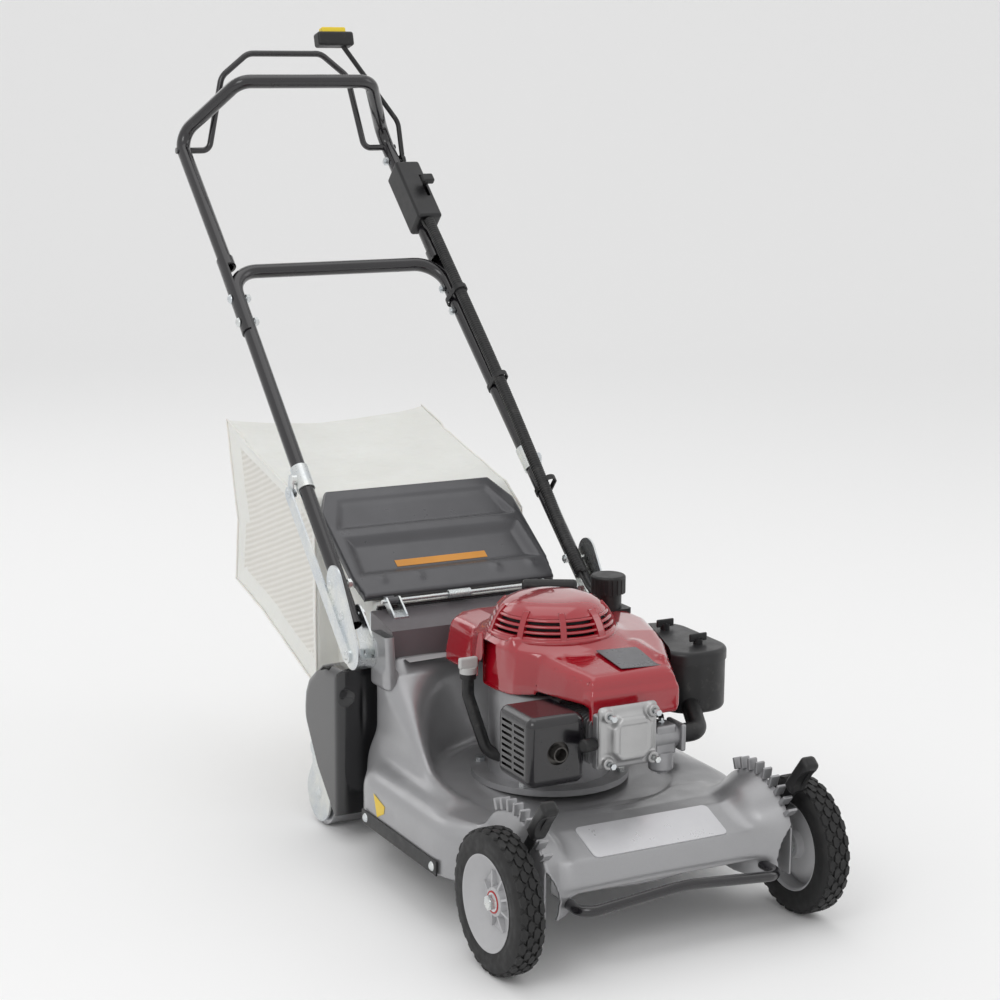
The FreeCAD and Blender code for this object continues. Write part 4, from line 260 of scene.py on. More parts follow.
def deck_finish():
    """Silver metallic paint: fine flakes, a soft orange peel and a few darker rubbed patches."""
    g = Graph("deck_paint")
    flake = g.ramp(g.noise(2600.0, 1.0), 0.35, 0.65, 0, 1)
    base = g.blend(flake, (0.335, 0.335, 0.345), (0.395, 0.395, 0.405))
    rub = g.ramp(g.noise(9.0, 7.0, rough=0.7), 0.5, 0.85, 0.0, 0.35)
    g.colour(g.blend(rub, base, (0.30, 0.30, 0.305)))
    g.rough(g.ramp(g.noise(38.0, 4.0), 0.3, 0.7, 0.30, 0.42))
    grain = g.bump(g.noise(2600.0, 1.0), 0.04, 0.0002)
    g.bump(g.noise(210.0, 2.0), 0.05, 0.0006, grain)
    g.set(Metallic=0.55, Coat_Weight=0.35, Coat_Roughness=0.12)
    return g.mat


def fabric_finish():
    """White woven cloth: a plain weave, soft stains and a little sheen."""
    g = Graph("bag_cloth")
    warp = g.node("ShaderNodeTexWave", wave_type="BANDS", bands_direction="X")
    weft = g.node("ShaderNodeTexWave", wave_type="BANDS", bands_direction="Z")
    for band in (warp, weft):
        band.inputs["Scale"].default_value = 260.0
        band.inputs["Distortion"].default_value = 0.6
        band.inputs["Detail Scale"].default_value = 2.0
        g.link(g.coords, band.inputs["Vector"])
    weave = g.math("MULTIPLY", warp.outputs["Fac"], weft.outputs["Fac"])
    broad = g.ramp(g.noise(6.0, 5.0, rough=0.6), 0.3, 0.75, 0, 1)
    base = g.blend(broad, (0.86, 0.845, 0.80), (0.78, 0.76, 0.71))
    g.colour(g.blend(g.ramp(weave, 0, 1, 0.0, 0.35), base, (0.90, 0.885, 0.85)))
    g.rough(g.ramp(broad, 0, 1, 0.82, 0.95))
    fold = g.bump(g.noise(22.0, 3.0, g.scaled(1.0, 2.4, 0.8)), 0.45, 0.006)
    g.bump(weave, 0.35, 0.0004, fold)
    g.set(Sheen_Weight=0.25, Sheen_Roughness=0.5, Subsurface_Weight=0.06)
    return g.mat


def mesh_finish():
    """The bag's side panel: open net with fine slanting ribs."""
    g = Graph("bag_net")
    ribs = g.node("ShaderNodeTexWave", wave_type="BANDS", bands_direction="DIAGONAL")
    ribs.inputs["Scale"].default_value = 62.0
    ribs.inputs["Distortion"].default_value = 0.4
    g.link(g.scaled(0.0, 0.35, 1.0), ribs.inputs["Vector"])
    lines = ribs.outputs["Fac"]
    g.colour(g.blend(lines, (0.80, 0.785, 0.74), (0.69, 0.67, 0.62)))
    g.rough(g.ramp(g.noise(40.0, 4.0), 0.3, 0.7, 0.8, 0.95))
    g.bump(lines, 0.8, 0.0012)
    g.set(Sheen_Weight=0.2)
    return g.mat


def tyre_finish():
    g = Graph("tyre_rubber")
    dust = g.ramp(g.noise(45.0, 6.0, rough=0.7), 0.45, 0.8, 0.0, 0.35)
    g.colour(g.blend(dust, (0.008, 0.008, 0.0085), (0.045, 0.043, 0.040)))
    g.rough(g.ramp(g.noise(90.0, 5.0), 0.3, 0.7, 0.48, 0.72))
    g.bump(g.noise(900.0, 4.0), 0.18, 0.0006)
    return g.mat


def make_materials():
    black_tube = finish_of("tube_paint", (0.009, 0.008, 0.010), 0.24, vary=0.10, orange=0.05, grain_bump=0.02,
                           Coat_Weight=0.6, Coat_Roughness=0.10)
    return {
        "deck_paint": deck_finish(),
        "black_plastic": finish_of("black_plastic", (0.008, 0.008, 0.0085), 0.42, grain_bump=0.14, dust=0.12),
        "satin_black": finish_of("satin_black", (0.011, 0.011, 0.012), 0.36, grain_bump=0.10, orange=0.03),
        "gloss_black": finish_of("gloss_black", (0.007, 0.007, 0.008), 0.20, grain_bump=0.02, orange=0.08,
                                 Coat_Weight=0.5, Coat_Roughness=0.08),
        "zinc_steel": zinc_finish(),
        "badge_silver": finish_of("badge_silver", (0.66, 0.66, 0.68), 0.32, vary=0.05, Metallic=0.7),
        "black_paint": black_tube,
        "grey_paint": finish_of("grey_paint", (0.150, 0.137, 0.145), 0.34, vary=0.08, orange=0.06,
                                Metallic=0.4),
        "lid_paint": finish_of("lid_paint", (0.080, 0.080, 0.086), 0.33, vary=0.08, orange=0.06,
                               Metallic=0.35, Coat_Weight=0.25, Coat_Roughness=0.2),
        "tyre_rubber": tyre_finish(),
        "rim_grey": finish_of("rim_grey", (0.46, 0.46, 0.47), 0.36, vary=0.07, grain_bump=0.06, dust=0.18),
        "plain_steel": brushed("plain_steel", (0.42, 0.42, 0.42), 0.36),
        "belt_rubber": finish_of("belt_rubber", (0.018, 0.018, 0.018), 0.5, grain_bump=0.2, dust=0.15),
        "cast_alloy": finish_of("cast_alloy", (0.40, 0.40, 0.41), 0.5, vary=0.18, grain_bump=0.35,
                                grain=900.0, Metallic=0.85),
        "rocker_alloy": finish_of("rocker_alloy", (0.47, 0.47, 0.47), 0.42, vary=0.08, grain_bump=0.3,
                                  grain=1100.0, Metallic=0.8),
        "roller_steel": brushed("roller_steel", (0.50, 0.50, 0.51), 0.30, along=(300.0, 3.0, 3.0)),
        "dark_steel": finish_of("dark_steel", (0.10, 0.095, 0.09), 0.45, vary=0.3, Metallic=0.8),
        "red_gloss": finish_of("red_gloss", (0.34, 0.003, 0.012), 0.16, vary=0.05, grain_bump=0.015,
                               orange=0.05, Coat_Weight=1.0, Coat_Roughness=0.04, Specular_IOR_Level=0.6),
        "grey_plastic": finish_of("grey_plastic", (0.50, 0.50, 0.49), 0.4, grain_bump=0.1),
        "filter_foam": finish_of("filter_foam", (0.03, 0.03, 0.03), 0.9, grain=1200.0, grain_bump=0.8),
        "yellow_plastic": finish_of("yellow_plastic", (0.80, 0.60, 0.03), 0.38, vary=0.05, grain_bump=0.08),
        "bag_fabric": fabric_finish(),
        "bag_net": mesh_finish(),
        "red_washer": finish_of("red_washer", (0.45, 0.02, 0.02), 0.4),
        "orange_label": finish_of("orange_label", (0.62, 0.26, 0.03), 0.4, vary=0.12),
        "yellow_label": finish_of("yellow_label", (0.75, 0.52, 0.04), 0.4, vary=0.08),
        "pale_label": finish_of("pale_label", (0.55, 0.55, 0.56), 0.35, vary=0.06, Metallic=0.3),
        "grey_label": finish_of("grey_label", (0.16, 0.16, 0.17), 0.3, vary=0.1, Metallic=0.5),
        # painted shade: near-black matte finish for the sheet that fills the shaded inside behind the
        # starter's louvres
        "painted_shade_black": finish_of("painted_shade_black", (0.008, 0.008, 0.009), 0.7),
        "teal_gasket": finish_of("teal_gasket", (0.01, 0.16, 0.14), 0.6),
    }


# ---- mesh helpers ------------------------------------------------------------------------------
def piece(name, points, faces, body, slot=None, look=None, nodes=(), smooth=True):
    """A mesh piece from drawn millimetre points, on its body, standing for its CAD nodes."""
    mesh = bpy.data.meshes.new(name)
    placed = (np.asarray(points, float) - (0, MIDDLE_Y, 0)) * MM
    mesh.from_pydata(placed.tolist(), [], [tuple(int(i) for i in face) for face in faces])
    mesh.update()
    made = bpy.data.objects.new(name, mesh)
    bpy.context.scene.collection.objects.link(made)
    mesh.materials.append(looks[look or slot])
    if smooth:
        mesh.shade_smooth()
    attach(made, body)
    if nodes:
        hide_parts(*nodes)
    return made


def modifier(obj, kind, **values):
    made = obj.modifiers.new(kind.lower(), kind)
    for key, value in values.items():
        setattr(made, key, value)
    return made


def surface_net(field, low, high, step):
    """The zero surface of field(x, y, z), negative inside: a point in each mixed cell, quads between."""
    axes = [np.arange(a, b + step * 0.5, step) for a, b in zip(low, high)]
    grid = np.meshgrid(*axes, indexing="ij")
    values = field(*grid).astype(np.float32)
    inside = values < 0
    cells = tuple(n - 1 for n in values.shape)
    total = np.zeros((*cells, 3), np.float32)
    count = np.zeros(cells, np.float32)

    def part(array, offset):
        return array[tuple(slice(o, o + n) for o, n in zip(offset, cells))]

    for axis in range(3):
        others = [i for i in range(3) if i != axis]
        for corner in ((0, 0), (0, 1), (1, 0), (1, 1)):
            start = [0, 0, 0]
            start[others[0]], start[others[1]] = corner
            end = list(start)
            end[axis] = 1
            a, b = part(values, start), part(values, end)
            crossed = (a < 0) != (b < 0)
            share = np.where(crossed, a / np.where(a == b, 1, a - b), 0)
            count += crossed
            for i in range(3):
                total[..., i] += np.where(crossed, start[i] + (share if i == axis else 0), 0)
    used = count > 0
    index = np.full(cells, -1, np.int64)
    index[used] = np.arange(int(used.sum()))
    where = np.argwhere(used)
    points = (total[used] / count[used][:, None] + where) * step + np.array(low)
    faces = []
    for axis in range(3):
        u, v = [(1, 2), (2, 0), (0, 1)][axis]
        size = list(values.shape)
        size[axis] -= 1
        first, second = [0, 0, 0], [0, 0, 0]
        second[axis] = 1
        a = inside[tuple(slice(o, o + n) for o, n in zip(first, size))]
        b = inside[tuple(slice(o, o + n) for o, n in zip(second, size))]
        spots = np.argwhere(a != b)
        keep = (spots[:, u] > 0) & (spots[:, v] > 0) & (spots[:, u] < cells[u]) & (spots[:, v] < cells[v])
        spots = spots[keep]
        turned = a[tuple(spots.T)]
        ring = []
        for du, dv in ((-1, -1), (0, -1), (0, 0), (-1, 0)):
            spot = spots.copy()
            spot[:, u] += du
            spot[:, v] += dv
            ring.append(index[tuple(spot.T)])
        quad = np.stack(ring, 1)
        quad[~turned] = quad[~turned][:, ::-1]
        faces.append(quad)
    faces = np.concatenate(faces)
    return points, faces


def smin(a, b, k):
    h = np.clip(0.5 + 0.5 * (b - a) / k, 0, 1)
    return b * (1 - h) + a * h - k * h * (1 - h)


def smax(a, b, k):
    return -smin(-a, -b, k)


def dist_round(x, y, cx, cy):
    return np.sqrt((x - cx) ** 2 + (y - cy) ** 2)


def polygon(u, v, corners):
    """Signed distance to a closed polygon, negative inside."""
    best = np.full(u.shape, 1e9, np.float32)
    sign = np.ones(u.shape, bool)
    for (au, av), (bu, bv) in zip(corners, corners[1:] + corners[:1]):
        eu, ev = bu - au, bv - av
        wu, wv = u - au, v - av
        t = np.clip((wu * eu + wv * ev) / (eu * eu + ev * ev), 0, 1)
        best = np.minimum(best, (wu - eu * t) ** 2 + (wv - ev * t) ** 2)
        if av != bv:
            hit = ((av > v) != (bv > v)) & (wu < eu * wv / ev)
            sign ^= hit
    return np.where(sign, 1, -1) * np.sqrt(best)


def soft_block(x, y, z, x0, x1, y0, y1, z0, z1, r):
    """A box with edges rounded to r."""
    dx = np.abs(x - (x0 + x1) / 2) - (x1 - x0) / 2 + r
    dy = np.abs(y - (y0 + y1) / 2) - (y1 - y0) / 2 + r
    dz = np.abs(z - (z0 + z1) / 2) - (z1 - z0) / 2 + r
    outside = np.sqrt(np.maximum(dx, 0) ** 2 + np.maximum(dy, 0) ** 2 + np.maximum(dz, 0) ** 2)
    return outside + np.minimum(np.maximum(dx, np.maximum(dy, dz)), 0) - r


def tube(path, radius, sides=20, closed=False):
    """Points and faces of a tube along a path; radius is a number or one for each point."""
    path = [Vector(p) for p in path]
    count = len(path)
    radii = radius if hasattr(radius, "__len__") else [radius] * count
    normal = None
    points, faces = [], []
    for i, here in enumerate(path):
        ahead = path[(i + 1) % count] if closed or i + 1 < count else here
        behind = path[i - 1] if closed or i > 0 else here
        heading = (ahead - behind).normalized()
        if normal is None:
            normal = heading.orthogonal().normalized()
        normal = (normal - heading * normal.dot(heading)).normalized()
        side = heading.cross(normal)
        for k in range(sides):
            turn = 2 * math.pi * k / sides
            points.append(here + (normal * math.cos(turn) + side * math.sin(turn)) * radii[i])
    rings = count if closed else count - 1
    for i in range(rings):
        for k in range(sides):
            a, b = i * sides, ((i + 1) % count) * sides
            n = (k + 1) % sides
            faces.append((a + k, a + n, b + n, b + k))
    if not closed:
        faces.append(tuple(reversed(range(sides))))
        faces.append(tuple(range((count - 1) * sides, count * sides)))
    return points, faces


def revolve(profile, steps=96, axis="z", centre=(0, 0, 0), closed=True):
    """Turns a list of (radius, along) corners about an axis through centre."""
    points, faces = [], []
    size = len(profile)
    for i in range(steps):
        turn = 2 * math.pi * i / steps
        c, s = math.cos(turn), math.sin(turn)
        for r, a in profile:
            p = (r * c, r * s, a) if axis == "z" else (a, r * c, r * s)
            points.append(tuple(p[k] + centre[k] for k in range(3)))
    last = size if closed else size - 1
    for i in range(steps):
        a, b = i * size, ((i + 1) % steps) * size
        for k in range(last):
            n = (k + 1) % size
            faces.append((a + k, b + k, b + n, a + n))
    return points, faces


def merged(*groups):
    points, faces = [], []
    for more_points, more_faces in groups:
        start = len(points)
        points += [tuple(p) for p in more_points]
        faces += [tuple(i + start for i in face) for face in more_faces]
    return points, faces


def mirrored(points, faces):
    return [(-p[0], p[1], p[2]) for p in points], [tuple(reversed(f)) for f in faces]


BLOCK_FACES = [(0, 1, 3, 2), (4, 6, 7, 5), (0, 4, 5, 1), (2, 3, 7, 6), (0, 2, 6, 4), (1, 5, 7, 3)]


def block(x0, x1, y0, y1, z0, z1):
    return [(x, y, z) for x in (x0, x1) for y in (y0, y1) for z in (z0, z1)], BLOCK_FACES


# ---- deck --------------------------------------------------------------------------------------
def deck_field(x, y, z):
    wide = np.abs(x)
    ring = np.sqrt(x ** 2 + (y - 300) ** 2) - 280
    ring = smax(ring, wide - 248, 14)
    body = smax(ring, z - 155, 34)
    shoulder = polygon(y, z, [(232, 40), (240, 146), (310, 180), (462, 279), (515, 283), (515, 40)])
    shoulder = smax(shoulder, wide - 192, 26)
    tunnel = polygon(y, z, [(320, 40), (330, 150), (495, 300), (582, 300), (582, 40)])
    tunnel = smax(tunnel, wide - 163, 12)
    nose = polygon(y, z, [(-38, 104), (-38, 115), (-21, 143), (40, 166), (78, 165), (150, 154), (150, 104)])
    nose = smax(nose, wide - 176, 16)
    radial = np.sqrt((y - 45) ** 2 + (z - 100) ** 2)
    arch_r = 71 + 34 * np.clip((wide - 140) / 59, 0, 1)
    arch = smax(smax((radial - arch_r) * 0.88, wide - 199, 5), 136 - wide, 30)
    form = smin(body, shoulder, 46)
    form = smin(form, nose, 12)
    form = smin(form, tunnel, 24)
    form = smin(form, arch, 12)
    around = np.sqrt(x ** 2 + (y - 300) ** 2)
    well = smax(around - 172 - 26 * np.clip((z - 155) / 145, 0, 1), 155 - z, 10)
    return smax(form, -well, 26)


def make_deck():
    """The pressed shell as an open skin given its 3 mm wall, with the mouth and holes cut through it."""
    points, faces = surface_net(deck_field, (-256.5, -46.5, 73.5), (256.5, 591, 309), 3.0)
    rim = points[:, 2] < 77
    points[rim, 2] = 75.0
    deck = piece("deck", points, faces, "machine", "deck_paint", nodes=["deck_housing"])
    modifier(deck, "SMOOTH", factor=0.5, iterations=4)
    modifier(deck, "SOLIDIFY", thickness=0.003, offset=-1.0)
    cutters = [block(-146, 146, 562, 602, 196, 294), block(-62, 62, 562, 602, 96, 134),
               block(-146, 146, 512, 579, 280, 320)]
    points, faces = merged(*cutters)
    cutter = piece("deck_cutter", points, faces, "machine", "deck_paint", smooth=False)
    modifier(deck, "BOOLEAN", object=cutter, operation="DIFFERENCE", solver="FAST")
    settle(deck)
    bpy.data.objects.remove(cutter)
    return deck


def settle(obj):
    """Applies every modifier on a piece."""
    graph = bpy.context.evaluated_depsgraph_get()
    mesh = bpy.data.meshes.new_from_object(obj.evaluated_get(graph))
    obj.modifiers.clear()
    obj.data = mesh


def make_posts():
    """The cast bracket posts and the toothed quadrants."""
    def post_field(x, y, z):
        wide = np.abs(x)
        body = soft_block(wide, y, z, 177.5, 193.5, 453 + (z - 265) * 0.12, 515, 262, 347, 5)
        web = soft_block(wide, y, z, 170, 193.5, 462, 512, 262, 290, 6)
        return smin(body, web, 10)
    points, faces = surface_net(post_field, (-197, 445, 200), (197, 523, 344), 2.0)
    piece("bracket_posts", points, faces, "machine", "deck_paint")
    rows = []
    for i in range(9):
        turn = math.radians(66 + i * 9.5)
        c, s = math.cos(turn), math.sin(turn)
        corners = []
        for x in (188.0, 203.0):
            for r, half in ((102.0, 3.4), (119.0, 2.2)):
                for side in (-half, half):
                    corners.append((x, 45 + r * c - side * s, 100 + r * s + side * c))
        faces = [(0, 2, 3, 1), (4, 5, 7, 6), (0, 1, 5, 4), (2, 6, 7, 3), (0, 4, 6, 2), (1, 3, 7, 5)]
        rows.append((corners, faces))
    teeth = merged(*rows)
    teeth = piece("height_teeth", *merged(teeth, mirrored(*teeth)), "machine", "deck_paint", smooth=False)
    modifier(teeth, "BEVEL", width=0.0012, segments=2, limit_method="ANGLE")


# ---- engine housing ----------------------------------------------------------------------------
COWL = [(-98, 235), (-98, 452), (-72, 478), (112, 478), (190, 420), (190, 330), (150, 215), (114, 140),
        (96, 102), (-44, 102), (-62, 150), (-76, 205)]


def cowl_field(x, y, z):
    outline = polygon(x, y, COWL)
    taper = outline + np.clip(z - 318, 0, 60) * 0.16
    roof = 374 - np.clip(250 - y, 0, 200) * 0.155
    roof = roof - np.clip(np.abs(x - 20) - 60, 0, 100) * 0.10
    body = smax(taper, z - roof, 15)
    collar = smax(dist_round(x, y, 0, 300) - 106 + np.clip(z - 366, 0, 20) * 1.2, z - 382, 8)
    body = smin(body, collar, 16)
    ridge_l = soft_block(x, y, z, -92, -50, 250, 262, 330, 382, 5)
    ridge_r = soft_block(x, y, z, 84, 94, 130, 212, 330, 366, 5)
    body = smin(smin(body, ridge_l, 16), ridge_r, 14)
    floor = 300 + 12 * np.clip((250 - y) / 80, 0, 1) * np.clip((-20 - x) / 30, 0, 1)
    lip = soft_block(x, y, z, -46, 98, 100, 118, 288, 330, 6)
    body = smin(smax(body, floor - z, 3), lip, 8)
    tab = smax(soft_block(x, y, z, -52, 2, 100, 104, 262, 306, 2), np.abs(x + 26) - (z - 262) * 0.55 - 8, 4)
    body = smin(body, tab, 6)
    inner_outline = outline + 3.0 + np.clip(z - 318, 0, 60) * 0.16
    hollow = smax(inner_outline, z - roof + 4, 12)
    body = smax(body, -hollow, 2)
    opening = dist_round(x, y, 0, 300) - 82
    neck = dist_round(x, y, 153, 396) - 21.4
    oil = dist_round(x, y, -118, 338) - 24
    over_guard = soft_block(x, y, z, -400, -46, -100, 206, 200, 312, 1)
    for cut in (opening, neck, oil, over_guard):
        body = smax(body, -cut, 1.5)
    return body


def make_cowl():
    points, faces = surface_net(cowl_field, (-104, 94, 256), (196, 486, 390), 2.0)
    cowl = piece("engine_housing", points, faces, "machine", "red_gloss", nodes=["engine_cowl"])
    modifier(cowl, "SMOOTH", factor=0.5, iterations=3)
    return cowl


def make_dome():
    """The starter's cover: a black sheet inside as painted shade behind the louvres, rows of red louvres held
    by upright ribs, a smooth cap.
    """
    centre = (0, CRANK_Y, 0)
    z0 = COWL_ROOF_Z
    # A black band just inside the louvres: painted shade standing in for the shaded inside of the starter.
    shade_sheet = revolve([(78, z0 - 4), (76, z0 + 22), (64, z0 + 38), (64, z0 + 34), (73, z0 + 20), (75, z0 - 4)],
                     72, centre=centre)
    piece("dome_painted_shade", *shade_sheet, "machine", "red_gloss", look="painted_shade_black", nodes=["starter_dome"])
    parts = []
    for r, z in ((93.5, z0 + 2), (90.5, z0 + 10), (87.0, z0 + 18), (82.5, z0 + 26)):
        ring = [(r - 6, z + 1.0), (r - 5, z + 2.6), (r - 1, z + 2.2), (r + 0.8, z + 0.4), (r + 0.6, z - 1.4),
                (r - 1.5, z - 1.2)]
        parts.append(revolve(ring, 120, centre=centre))
    base = [(82, z0 - 6), (96, z0 - 6), (97.5, z0 - 4.5), (97.5, z0 - 1), (95, z0 + 1.5), (90, z0 + 1.5),
            (86, z0 - 1), (82, z0 - 1)]
    parts.append(revolve(base, 120, centre=centre))
    cap = [(0.01, z0 + 47.5), (30, z0 + 47.2), (50, z0 + 46.0), (60, z0 + 43.5), (68, z0 + 39.5),
           (75, z0 + 34.5), (79.5, z0 + 29.5), (79.0, z0 + 28), (74, z0 + 30), (66, z0 + 36),
           (56, z0 + 41), (0.01, z0 + 44)]
    parts.append(revolve(cap, 120, centre=centre, closed=False))
    for i in range(9):
        turn = math.radians(40 * i + 12)
        c, s = math.cos(turn), math.sin(turn)
        wide = 9.0 if i != 7 else 15.0
        corners = []
        for r, z in ((96.5, z0 - 4), (93, z0 + 6), (88.5, z0 + 17), (82, z0 + 28), (74, z0 + 37),
                     (68, z0 + 34), (76, z0 + 25), (82, z0 + 15), (86, z0 + 5), (88, z0 - 4)):
            for side in (-wide / 2, wide / 2):
                corners.append((r * c - side * s, 300 + r * s + side * c, z))
        count = 10
        faces = [(2 * k, 2 * k + 1, 2 * ((k + 1) % count) + 1, 2 * ((k + 1) % count)) for k in range(count)]
        faces.append(tuple(range(0, 2 * count, 2))[::-1])
        faces.append(tuple(range(1, 2 * count, 2)))
        parts.append((corners, faces))
    dome = piece("starter_cover", *merged(*parts), "machine", "red_gloss")
    modifier(dome, "BEVEL", width=0.0008, segments=2, limit_method="ANGLE")
    dome.data.set_sharp_from_angle(angle=math.radians(40))
    guide = tube([(48, 392, 398), (48 + 4.2, 392 + 8, 398 + 3.6)], 9.0, 24)
    piece("rope_guide", *guide, "machine", "black_plastic")


# ---- wheels ------------------------------------------------------------------------------------
def tread_blocks(radius):
    """Rows of six-sided blocks round the tyre, offset from row to row."""
    groups = []
    count = 28
    step = 2 * math.pi / count
    shape = [(-0.46, 0.0), (-0.26, 0.52), (0.26, 0.52), (0.46, 0.0), (0.26, -0.52), (-0.26, -0.52)]
    rows = ((-13.2, 8.6, 0.0, 1.04), (-4.4, 9.6, 0.5, 1.0), (4.4, 9.6, 0.0, 1.0), (13.2, 8.6, 0.5, 1.04))
    for x_mid, width, shift, long in rows:
        for i in range(count):
            turn = (i + shift) * step
            ring = []
            for height in (-3.0, 0.0):
                grow = 1.0 if height < 0 else 0.86
                for u, v in shape:
                    x = x_mid + v * width * grow
                    a = turn + u * step * long * grow
                    drop = max(0.0, abs(x) - 9.0) ** 2 * 0.022
                    r = radius + height - drop
                    ring.append((x, r * math.cos(a), r * math.sin(a)))
            faces = [(k, (k + 1) % 6, (k + 1) % 6 + 6, k + 6) for k in range(6)] + [tuple(range(6, 12))]
            groups.append((ring, faces))
    return merged(*groups)


def make_wheel(side, name):
    body = "wheel_" + name
    x_mid = WHEEL_X
    centre = (x_mid, 0, AXLE_Z)

    def put(points, faces):
        return (points, faces) if side > 0 else mirrored(points, faces)

    carcass = [(-20, 66), (-21, 72), (-21, 84), (-20.2, 90), (-17.5, 94.5), (-12, 96.6), (0, 97.4),
               (12, 96.6), (17.5, 94.5), (20.2, 90), (21, 84), (20.6, 80.5), (21, 78), (20.8, 73),
               (20, 70), (20, 66), (12, 64), (-12, 64)]
    tread_points, tread_faces = tread_blocks(TREAD_R)
    rubber = merged(revolve([(r, a) for a, r in carcass], 144, "x", centre),
                    ([(p[0] + x_mid, p[1], p[2] + AXLE_Z) for p in tread_points], tread_faces))
    tyre = piece("tyre_" + name + "_tread", *put(*rubber), body, "tyre_rubber", nodes=["tyre_" + name])
    tyre.data.set_sharp_from_angle(angle=math.radians(38))
    bead = [(19.6, 66), (21, 66.6), (20.9, 65.2), (19.4, 63.6), (16, 61), (11, 55), (5, 47), (1, 41.5),
            (-1, 40), (-2, 34), (-2, 22), (8, 20), (9, 18), (9, 11), (6, 10.2), (-17, 10.2), (-17, 19),
            (-6, 21), (-6, 40), (-4, 46), (0, 52), (6, 59), (8, 61.5), (-16, 61.5), (-19, 63.6), (-19, 66)]
    parts = [revolve([(r, a) for a, r in bead], 120, "x", centre)]
    for i in range(8):
        turn = math.radians(45 * i + 22.5)
        c, s = math.cos(turn), math.sin(turn)
        corners = []
        for x, r, half in ((-3, 18, 2.2), (7.5, 18, 1.8), (3.0, 42, 1.8), (-3, 42, 2.2)):
            for w in (-half, half):
                corners.append((x_mid + x, r * c - w * s, 100 + r * s + w * c))
        faces = [(0, 1, 3, 2), (2, 3, 5, 4), (4, 5, 7, 6), (6, 7, 1, 0), (0, 2, 4, 6), (1, 7, 5, 3)]
        parts.append((corners, faces))
    rim = piece("rim_" + name + "_dish", *put(*merged(*parts)), body, "rim_grey", nodes=["rim_" + name])
    modifier(rim, "BEVEL", width=0.0006, segments=2, limit_method="ANGLE")
    rim.data.set_sharp_from_angle(angle=math.radians(42))
    washer = revolve([(13.0, 9.05), (15.5, 9.05), (15.5, 10.0), (13.0, 10.0)], 48, "x", centre)
    piece("washer_" + name, *put(*washer), body, "rim_grey", look="red_washer")


# ---- side covers -------------------------------------------------------------------------------
COVER_FOOT = [(534, 48), (552, 41), (618, 104), (678, 192)]


def cover_field(x, y, z):
    """The cover's outer skin, carried on below its slanting open edge."""
    wide = np.abs(x)
    outline = [(534, 0), (678, 0), (678, 192), (674, 216), (660, 240), (628, 264), (588, 277), (534, 281)]
    body = smax(polygon(y, z, outline), wide - 239.5, 18)
    recess = np.sqrt(((wide - 231) / 17) ** 2 + ((z - 237) / 13) ** 2 + ((y - 532) / 9) ** 2) - 1
    groove = np.sqrt(((wide - 199) / 3.5) ** 2 + ((z - 214) / 38) ** 2 + ((y - 532) / 4) ** 2) - 1
    return smax(smax(body, -recess * 9, 3), -groove * 3, 1.5)


def trimmed(points, faces, region):
    """Drops the part of a skin inside a side-view region and pulls the cut edge onto the region's outline."""
    y, z = points[:, 1], points[:, 2]
    depth = polygon(y, z, region)
    nudge = 0.1
    slope_y = (polygon(y + nudge, z, region) - depth) / nudge
    slope_z = (polygon(y, z + nudge, region) - depth) / nudge
    faces = faces[(depth[faces] > 0).any(axis=1)]
    inside = depth < 0
    points = points.copy()
    points[inside, 1] -= (slope_y * depth)[inside]
    points[inside, 2] -= (slope_z * depth)[inside]
    used = np.unique(faces)
    renumber = np.full(len(points), -1)
    renumber[used] = np.arange(len(used))
    return points[used], renumber[faces]


def make_covers():
    """Two hollow covers, open towards the middle and along the foot, slotted for the height lever."""
    for side, name in ((1, "left"), (-1, "right")):
        low, high = (163.6, 242.0) if side > 0 else (-242.0, -163.6)
        points, faces = surface_net(cover_field, (low, 528, 20), (high, 682, 286), 2.0)
        points, faces = trimmed(points, faces, COVER_FOOT + [(740, 283), (740, -40), (480, -40), (480, 48)])
        cover = piece("side_cover_" + name, points, faces, "machine", "gloss_black",
                      nodes=["side_covers"] if side > 0 else ())
        modifier(cover, "SMOOTH", factor=0.5, iterations=2)
        modifier(cover, "SOLIDIFY", thickness=0.0022, offset=-1.0)
        slot = block(*((225, 237.3) if side > 0 else (-237.3, -225)), 574, 702, 150, 302)
        cutter = piece("cover_cutter", *slot, "machine", "gloss_black", smooth=False)
        modifier(cover, "BOOLEAN", object=cutter, operation="DIFFERENCE", solver="EXACT")
        settle(cover)
        bpy.data.objects.remove(cutter)


# ---- lid ---------------------------------------------------------------------------------------
LID_SLOPE = math.radians(33)


def on_lid(u, v, h):
    """A point drawn flat on the lid: u across, v up the slope from the hinge, h square to it."""
    c, s = math.cos(LID_SLOPE), math.sin(LID_SLOPE)
    return (u, HINGE_Y + v * c - h * s, HINGE_Z + v * s + h * c)


